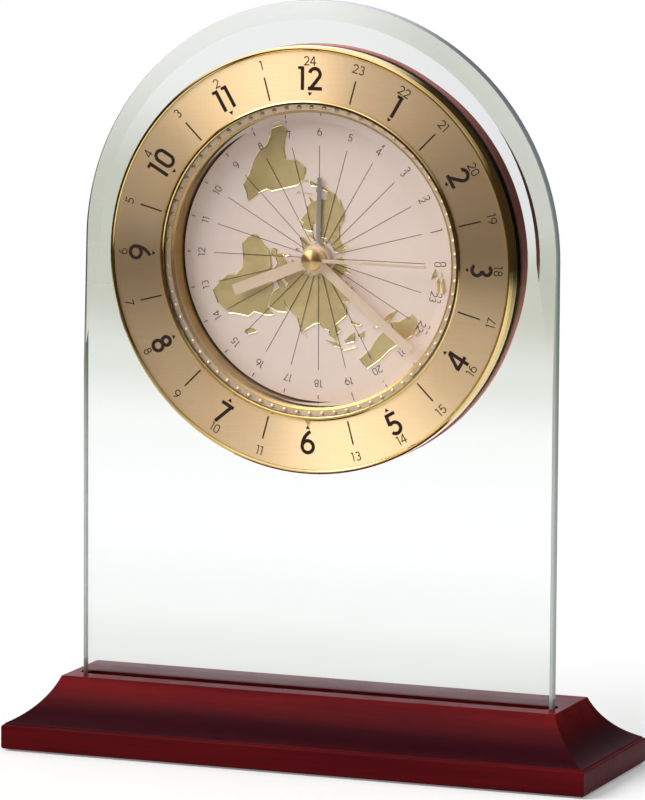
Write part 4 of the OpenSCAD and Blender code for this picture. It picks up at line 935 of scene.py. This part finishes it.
def lathe(
    name: str, profile: tuple[tuple[float, float], ...], body: str, steps: int = 96
) -> bpy.types.Object:
    """Turns a profile round the dial's axis.

    Args:
        name: The new piece's name.
        profile: Radius and depth of each point, in metres, from the axis outward.
        body: The body that carries the piece.
        steps: Points round a full turn.

    Returns:
        The new object.
    """
    axis = dial_axis()
    turn = [2 * math.pi * n / steps for n in range(steps)]
    made = bmesh.new()
    rings = []
    for radius, depth in profile:
        if radius == 0.0:
            rings.append([made.verts.new((0.0, depth, axis))] * steps)
            continue
        points = [(radius * math.sin(a), depth, axis + radius * math.cos(a)) for a in turn]
        rings.append([made.verts.new(point) for point in points])
    for inner, outer in zip(rings, rings[1:]):
        for n in range(steps):
            corners = (inner[n], outer[n], outer[(n + 1) % steps], inner[(n + 1) % steps])
            face = made.faces.new(tuple(dict.fromkeys(corners)))
            face.smooth = True
    bmesh.ops.recalc_face_normals(made, faces=made.faces)
    mesh = bpy.data.meshes.new(name)
    made.to_mesh(mesh)
    made.free()
    piece = linked(name, mesh)
    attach(piece, body)
    return piece


# The clock


@dataclass
class Stand:
    """The moulded wooden base, its felt, and the bedding in its slot."""

    nodes: tuple[str, ...] = ("base_felt", "slot_bed")
    mould_in: float = 0.0138
    lip_height: float = 0.0074
    lip_round: float = 0.0008
    cove_radius: float = 0.025
    cove_steps: int = 20
    arris: float = 0.0004
    arris_steps: int = 3
    smooth_below: float = 24.0
    arris_above: float = 35.0
    slot_radius: float = 0.0035
    slot_depth: float = 0.013
    slot_half: float = 0.0721
    slot_steps: int = 16

    def dress(self, wardrobe: Wardrobe) -> None:
        """Dresses the base.

        Args:
            wardrobe: The finishes.
        """
        wardrobe.dress(*self.nodes)
        wood = self._base()
        wardrobe.finish(wood, "mahogany")

    def _moulding(self, foot: float, head: float) -> list[tuple[float, float]]:
        """Draws the side of the base from its foot to the edge of its top.

        Args:
            foot: Height of the underside, in metres.
            head: Height of the top.

        Returns:
            How far in from the outer edge, and how high, each point is.
        """
        lip = foot + self.lip_height
        quarter = [math.radians(angle) for angle in range(0, 91, 30)]
        r = self.lip_round
        points = [(r - r * math.sin(a), foot + r - r * math.cos(a)) for a in quarter]
        points += [(r - r * math.cos(a), lip - r + r * math.sin(a)) for a in quarter]
        drop = head - lip
        chord = math.hypot(self.mould_in, drop)
        lift = math.sqrt(self.cove_radius**2 - chord**2 / 4)
        middle_in = self.mould_in / 2 - drop / chord * lift
        middle_up = head - drop / 2 + self.mould_in / chord * lift
        first = math.atan2(lip - middle_up, -middle_in)
        last = math.atan2(head - middle_up, self.mould_in - middle_in)
        for n in range(1, self.cove_steps + 1):
            angle = first + (last - first) * n / self.cove_steps
            points.append((
                middle_in + self.cove_radius * math.cos(angle),
                middle_up + self.cove_radius * math.sin(angle),
            ))
        return points

    def _slot(self, made: bmesh.types.BMesh, top: float) -> list[bmesh.types.BMVert]:
        """Sinks the slot for the glass into the top.

        Args:
            made: The mesh of the base.
            top: Height of the top.

        Returns:
            The points of the slot's rim, in order.
        """
        glass_low, glass_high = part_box("glass_panel")
        middle = (glass_low.y + glass_high.y) / 2
        rim, floor = [], []
        for side in (1, -1):
            for n in range(self.slot_steps + 1):
                angle = math.radians(-90 + 180 * n / self.slot_steps) + (0 if side == 1 else math.pi)
                x = side * self.slot_half + self.slot_radius * math.cos(angle)
                y = middle + self.slot_radius * math.sin(angle)
                rim.append(made.verts.new((x, y, top)))
                floor.append(made.verts.new((x, y, top - self.slot_depth)))
        count = len(rim)
        for n in range(count):
            made.faces.new((rim[n], rim[(n + 1) % count], floor[(n + 1) % count], floor[n]))
        made.faces.new(floor)
        return rim

    def _base(self) -> bpy.types.Object:
        """Builds the wood from its moulding, mitred at the corners, with the slot for the glass.

        Returns:
            The new base.
        """
        low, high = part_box("wood_base")
        made = bmesh.new()
        loops = []
        for inset, height in self._moulding(low.z, high.z):
            x0, x1, y0, y1 = low.x + inset, high.x - inset, low.y + inset, high.y - inset
            corners = ((x0, y0), (x1, y0), (x1, y1), (x0, y1))
            loops.append([made.verts.new((x, y, height)) for x, y in corners])
        for lower, upper in zip(loops, loops[1:]):
            for n in range(4):
                made.faces.new((lower[n], lower[(n + 1) % 4], upper[(n + 1) % 4], upper[n]))
        made.faces.new(tuple(reversed(loops[0])))
        rim = self._slot(made, high.z)
        around = []
        for loop in (loops[-1], rim):
            around += [made.edges.get(pair) for pair in zip(loop, loop[1:] + loop[:1])]
        bmesh.ops.triangle_fill(made, use_beauty=True, edges=around)
        bmesh.ops.recalc_face_normals(made, faces=made.faces)
        for face in made.faces:
            face.smooth = True
        mesh = bpy.data.meshes.new("wooden_base")
        made.to_mesh(mesh)
        made.free()
        mesh.set_sharp_from_angle(angle=math.radians(self.smooth_below))
        wood = linked("wooden_base", mesh)
        arris = wood.modifiers.new("arris", "BEVEL")
        arris.width = self.arris
        arris.segments = self.arris_steps
        arris.limit_method = "ANGLE"
        arris.angle_limit = math.radians(self.arris_above)
        arris.harden_normals = True
        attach(wood, "clock")
        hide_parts("wood_base")
        return wood


@dataclass
class Panel:
    """The arched sheet of bevelled glass."""

    node: str = "glass_panel"
    clear_of_hole: float = 0.062

    def dress(self, wardrobe: Wardrobe) -> None:
        """Dresses the glass, its outer edge in the look of ground glass seen end on.

        Args:
            wardrobe: The finishes.
        """
        axis = dial_axis()
        sheet = stand_in(self.node, "glass_sheet", "clock")
        wardrobe.finish(sheet, "panel_glass", "panel_glass", "panel_edge")
        for face in sheet.data.polygons:
            away = math.hypot(face.center.x, face.center.z - axis)
            face.material_index = int(abs(face.normal.y) < 0.5 and away > self.clear_of_hole)


@dataclass
class Dial:
    """The rings of the dial, from the bezel in to the crystal, with the case that carries them."""

    nodes: tuple[str, ...] = (
        "bezel", "bezel_gasket", "hour_ring", "hour_marks", "trim_ring", "bead_ring", "crystal",
        "dial_well", "insert_case", "rear_gasket", "clamp_ring", "clamp_screws",
    )

    def dress(self, wardrobe: Wardrobe) -> None:
        """Dresses the dial."""
        wardrobe.dress(*self.nodes)
        wardrobe.wear("bead_ring", "bead_gilt")


@dataclass
class WorldDisc:
    """The turning disc with its raised land, its lines and its hours."""

    nodes: tuple[str, ...] = ("map_disc", "map_marks", "day_wheel")
    arris: float = 0.00024
    arris_drop: float = 0.00012
    hair: float = 0.00001

    def dress(self, wardrobe: Wardrobe) -> None:
        """Dresses the disc, with the arris of the land taken off as the coining leaves it.

        Args:
            wardrobe: The finishes.
        """
        wardrobe.dress(*self.nodes)
        land = stand_in("map_relief", "land_relief", "world_disc")
        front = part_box("map_relief")[0].y + self.hair
        flat = math.radians(2)
        made = bmesh.new()
        made.from_mesh(land.data)
        bmesh.ops.remove_doubles(made, verts=made.verts, dist=self.hair / 10)
        bmesh.ops.dissolve_limit(made, angle_limit=flat, verts=made.verts, edges=made.edges)
        forward = [face for face in made.faces if face.normal.y < -0.9]
        tops = [face for face in forward if face.calc_center_median().y < front]
        rims = {vert for face in tops for vert in face.verts}
        bmesh.ops.inset_region(
            made, faces=tops, thickness=self.arris, use_even_offset=False, use_boundary=True
        )
        for vert in rims:
            vert.co.y += self.arris_drop
        bmesh.ops.recalc_face_normals(made, faces=made.faces)
        made.to_mesh(land.data)
        made.free()
        wardrobe.finish(land, "relief_brass")


@dataclass
class Hands:
    """The four hands."""

    nodes: tuple[str, ...] = ("alarm_hand", "hour_hand", "minute_hand", "second_hand")
    cap_radius: float = 0.00312
    cap_height: float = 0.0005
    cap_round: float = 0.0003
    cap_crown: float = 0.00006

    def dress(self, wardrobe: Wardrobe) -> None:
        """Dresses the hands, and lays the spun brass cap over the hub of the second hand.

        Args:
            wardrobe: The finishes.
        """
        wardrobe.dress(*self.nodes)
        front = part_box("second_hand")[0].y
        profile = (
            (0.0, front - self.cap_crown),
            (self.cap_radius - self.cap_round, front - self.cap_crown * 2 / 3),
            (self.cap_radius, front + self.cap_round),
            (self.cap_radius, front + self.cap_height),
        )
        cap = lathe("second_hub_cap", profile, "seconds")
        wardrobe.finish(cap, "brushed_brass", "spun_brass")


@dataclass
class Movement:
    """Everything behind the dial: wheels, motor, electronics, cell and covers."""

    nodes: tuple[str, ...] = (
        "alarm_wheel", "hour_wheel", "cannon_pinion", "centre_wheel", "seconds_wheel", "minute_wheel",
        "day_idler", "reverse_idler", "third_wheel", "intermediate_wheel", "rotor", "stator", "coil_core",
        "coil_winding", "coil_screws", "front_plate", "bushing_nut", "motion_studs", "train_bridge",
        "train_studs", "bridge_screws", "circuit_board", "quartz_can", "control_chip", "buzzer", "battery",
        "contact_plus", "contact_minus", "rear_cover", "cover_screws", "battery_door", "time_shaft",
        "time_knob", "alarm_shaft", "alarm_knob", "alarm_switch",
    )

    def dress(self, wardrobe: Wardrobe) -> None:
        """Dresses the movement."""
        wardrobe.dress(*self.nodes)


# The studio


@dataclass(frozen=True)
class PhotoCamera:
    """The camera of the picture: to the right of the dial's normal and a little above."""

    azimuth: float = 21.16
    pitch: float = 8.39
    roll: float = -0.346
    distance: float = 1.967
    aim_right: float = -0.00058
    aim_up: float = 0.1063
    focal_pixels: float = 6604.0
    width_pixels: float = 645.0
    sensor: float = 36.0
    clip: tuple[float, float] = (0.05, 20.0)

    def build(self) -> None:
        """Makes the camera and gives it to the scene."""
        turn, tip, lean = (math.radians(v) for v in (self.azimuth, self.pitch, self.roll))
        ahead = Vector((-math.sin(turn) * math.cos(tip), math.cos(turn) * math.cos(tip), -math.sin(tip)))
        right = Vector((math.cos(turn), math.sin(turn), 0.0))
        up = right.cross(ahead)
        across = right * math.cos(lean) - up * math.sin(lean)
        upward = right * math.sin(lean) + up * math.cos(lean)
        data = bpy.data.cameras.new("photo_camera")
        data.sensor_fit = "HORIZONTAL"
        data.sensor_width = self.sensor
        data.lens = self.focal_pixels * self.sensor / self.width_pixels
        data.clip_start, data.clip_end = self.clip
        camera = linked("photo_camera", data)
        aim = right * self.aim_right + up * self.aim_up
        place = Matrix((across, upward, -ahead)).transposed().to_4x4()
        place.translation = aim - ahead * self.distance
        camera.matrix_world = place
        bpy.context.scene.camera = camera


@dataclass(frozen=True)
class SoftLamp:
    """One far, wide, soft lamp that lights the clock and the table alike."""

    name: str
    place: tuple[float, float, float]
    spread: float
    strength: float

    def build(self) -> bpy.types.Object:
        """Hangs the lamp, turned towards the clock.

        Returns:
            The lamp.
        """
        data = bpy.data.lights.new(self.name, "SUN")
        data.energy = self.strength
        data.angle = math.radians(self.spread)
        lamp = linked(self.name, data)
        lamp.location = self.place
        lamp.rotation_mode = "QUATERNION"
        lamp.rotation_quaternion = (-Vector(self.place)).to_track_quat("-Z", "Y")
        return lamp


@dataclass
class Studio:
    """A pale table in a white room, a soft lamp, and the picture's camera."""

    floor_radius: float = 1.1
    floor_steps: int = 96
    cloth: Colour = (0.82, 0.82, 0.82)
    dusk: Colour = (0.02, 0.02, 0.02)
    fade_from: float = 0.3
    table_glow: float = 0.2
    fill: float = 0.5
    ceiling: float = 1.5
    backdrop: float = 1.4
    overhead: tuple[float, float] = (0.42, 0.68)
    rightward: tuple[float, float, float, float] = (0.0, 0.5, 1.0, 0.3)
    backdrop_way: tuple[float, float, float] = (-0.40, 0.917, 0.0)
    backdrop_width: tuple[float, float] = (0.87, 0.95)
    cast: Colour = (1.0, 0.98, 1.1)
    dark: Colour = (0.05, 0.034, 0.022)
    lamps: tuple[SoftLamp, ...] = (
        SoftLamp("upper_left", (-0.9, -0.68, 1.0), 50.0, 2.4),
    )
    hung: list[bpy.types.Object] = field(default_factory=list)

    def build(self) -> None:
        """Builds the stage, the lamps, the world and the camera."""
        self._floor()
        self.hung = [lamp.build() for lamp in self.lamps]
        self._world()
        bpy.context.scene.view_settings.view_transform = "Standard"
        PhotoCamera().build()

    def shade_glass(self, pane: bpy.types.Object) -> None:
        """Keeps the lamps' own shape out of the mirror of the glass, as a studio's diffusers do.

        Args:
            pane: The sheet of glass.
        """
        spared = bpy.data.collections.new("shaded_glass")
        spared.objects.link(pane)
        spared.collection_objects[0].light_linking.link_state = "EXCLUDE"
        for lamp in self.hung:
            lamp.light_linking.receiver_collection = spared

    def _floor(self) -> None:
        """Lays a round pale table that keeps the clock's shadow and is white to the camera."""
        mesh = bpy.data.meshes.new("table")
        made = bmesh.new()
        bmesh.ops.create_circle(made, cap_ends=True, segments=self.floor_steps, radius=self.floor_radius)
        made.to_mesh(mesh)
        made.free()
        floor = linked("table", mesh)
        material, w, output = blank("table")
        cloth = w.node("ShaderNodeBsdfDiffuse", {"Color": self.cloth})
        glow = w.node("ShaderNodeEmission", {"Color": (1.0, 1.0, 1.0), "Strength": self.table_glow})
        lit = w.node("ShaderNodeAddShader")
        w.feed(lit.inputs[0], cloth.outputs[0])
        w.feed(lit.inputs[1], glow.outputs[0])
        place = w.node("ShaderNodeTexCoord").outputs["Object"]
        away = w.node("ShaderNodeVectorMath", {"Vector": place}, operation="LENGTH")
        fade = w.ramp(away.outputs["Value"], self.fade_from, self.floor_radius)
        dusk = w.node("ShaderNodeBsdfDiffuse", {"Color": self.dusk})
        seen, mirrored = w.seen_and_mirrored()
        plain = w.either(mirrored, cloth, w.either(fade, cloth, dusk))
        w.feed(output.inputs["Surface"], w.either(seen, plain, lit).outputs[0])
        mesh.materials.append(material)

    def _gloss_of_room(self, w: Wiring) -> Socket:
        """Draws what gloss mirrors: a ceiling, a backdrop behind to the left, and dusky sides.

        Args:
            w: The wiring of the world.

        Returns:
            The colour for each direction.
        """
        direction = w.node("ShaderNodeTexCoord").outputs["Generated"]
        way = w.node("ShaderNodeSeparateXYZ", {"Vector": direction})
        overhead = w.ramp(way.outputs["Z"], *self.overhead)
        ceiling = w.math("MULTIPLY", overhead, w.ramp(way.outputs["X"], *self.rightward))
        toward = w.node("ShaderNodeVectorMath", {"Vector": direction}, operation="DOT_PRODUCT")
        toward.inputs[1].default_value = self.backdrop_way
        behind = w.ramp(toward.outputs["Value"], *self.backdrop_width)
        backdrop = w.math("MULTIPLY", behind, self.backdrop)
        level = w.math("MAXIMUM", w.math("MULTIPLY", ceiling, self.ceiling), backdrop)
        channels = zip("XYZ", self.cast, self.dark)
        parts = {axis: w.math("MULTIPLY_ADD", level, gain, dark) for axis, gain, dark in channels}
        return w.node("ShaderNodeCombineXYZ", parts).outputs[0]

    def _world(self) -> None:
        """Makes the room: white to the eye and through glass, and the drawn room in reflections."""
        room = bpy.data.worlds.new("room")
        bpy.context.scene.world = room
        room.use_nodes = True
        w = Wiring(room.node_tree)
        output = w.node("ShaderNodeOutputWorld")
        gloss = w.node("ShaderNodeBackground", {"Color": self._gloss_of_room(w), "Strength": 1.0})
        fill = w.node("ShaderNodeBackground", {"Color": (1.0, 1.0, 1.0), "Strength": self.fill})
        white = w.node("ShaderNodeBackground", {"Color": (1.0, 1.0, 1.0), "Strength": 1.0})
        seen, mirrored = w.seen_and_mirrored()
        lit = w.either(mirrored, fill, gloss)
        w.feed(output.inputs["Surface"], w.either(seen, lit, white).outputs[0])


def main() -> None:
    logging.basicConfig(level=logging.INFO, format="%(name)s: %(message)s")
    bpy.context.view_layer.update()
    studio = Studio()
    studio.build()
    wardrobe = Wardrobe(dial_axis())
    for assembly in (Stand(), Panel(), Dial(), WorldDisc(), Hands(), Movement()):
        assembly.dress(wardrobe)
        log.info("%s is dressed", type(assembly).__name__)
    studio.shade_glass(bpy.data.objects["glass_sheet"])


if __name__ == "__main__":
    main()
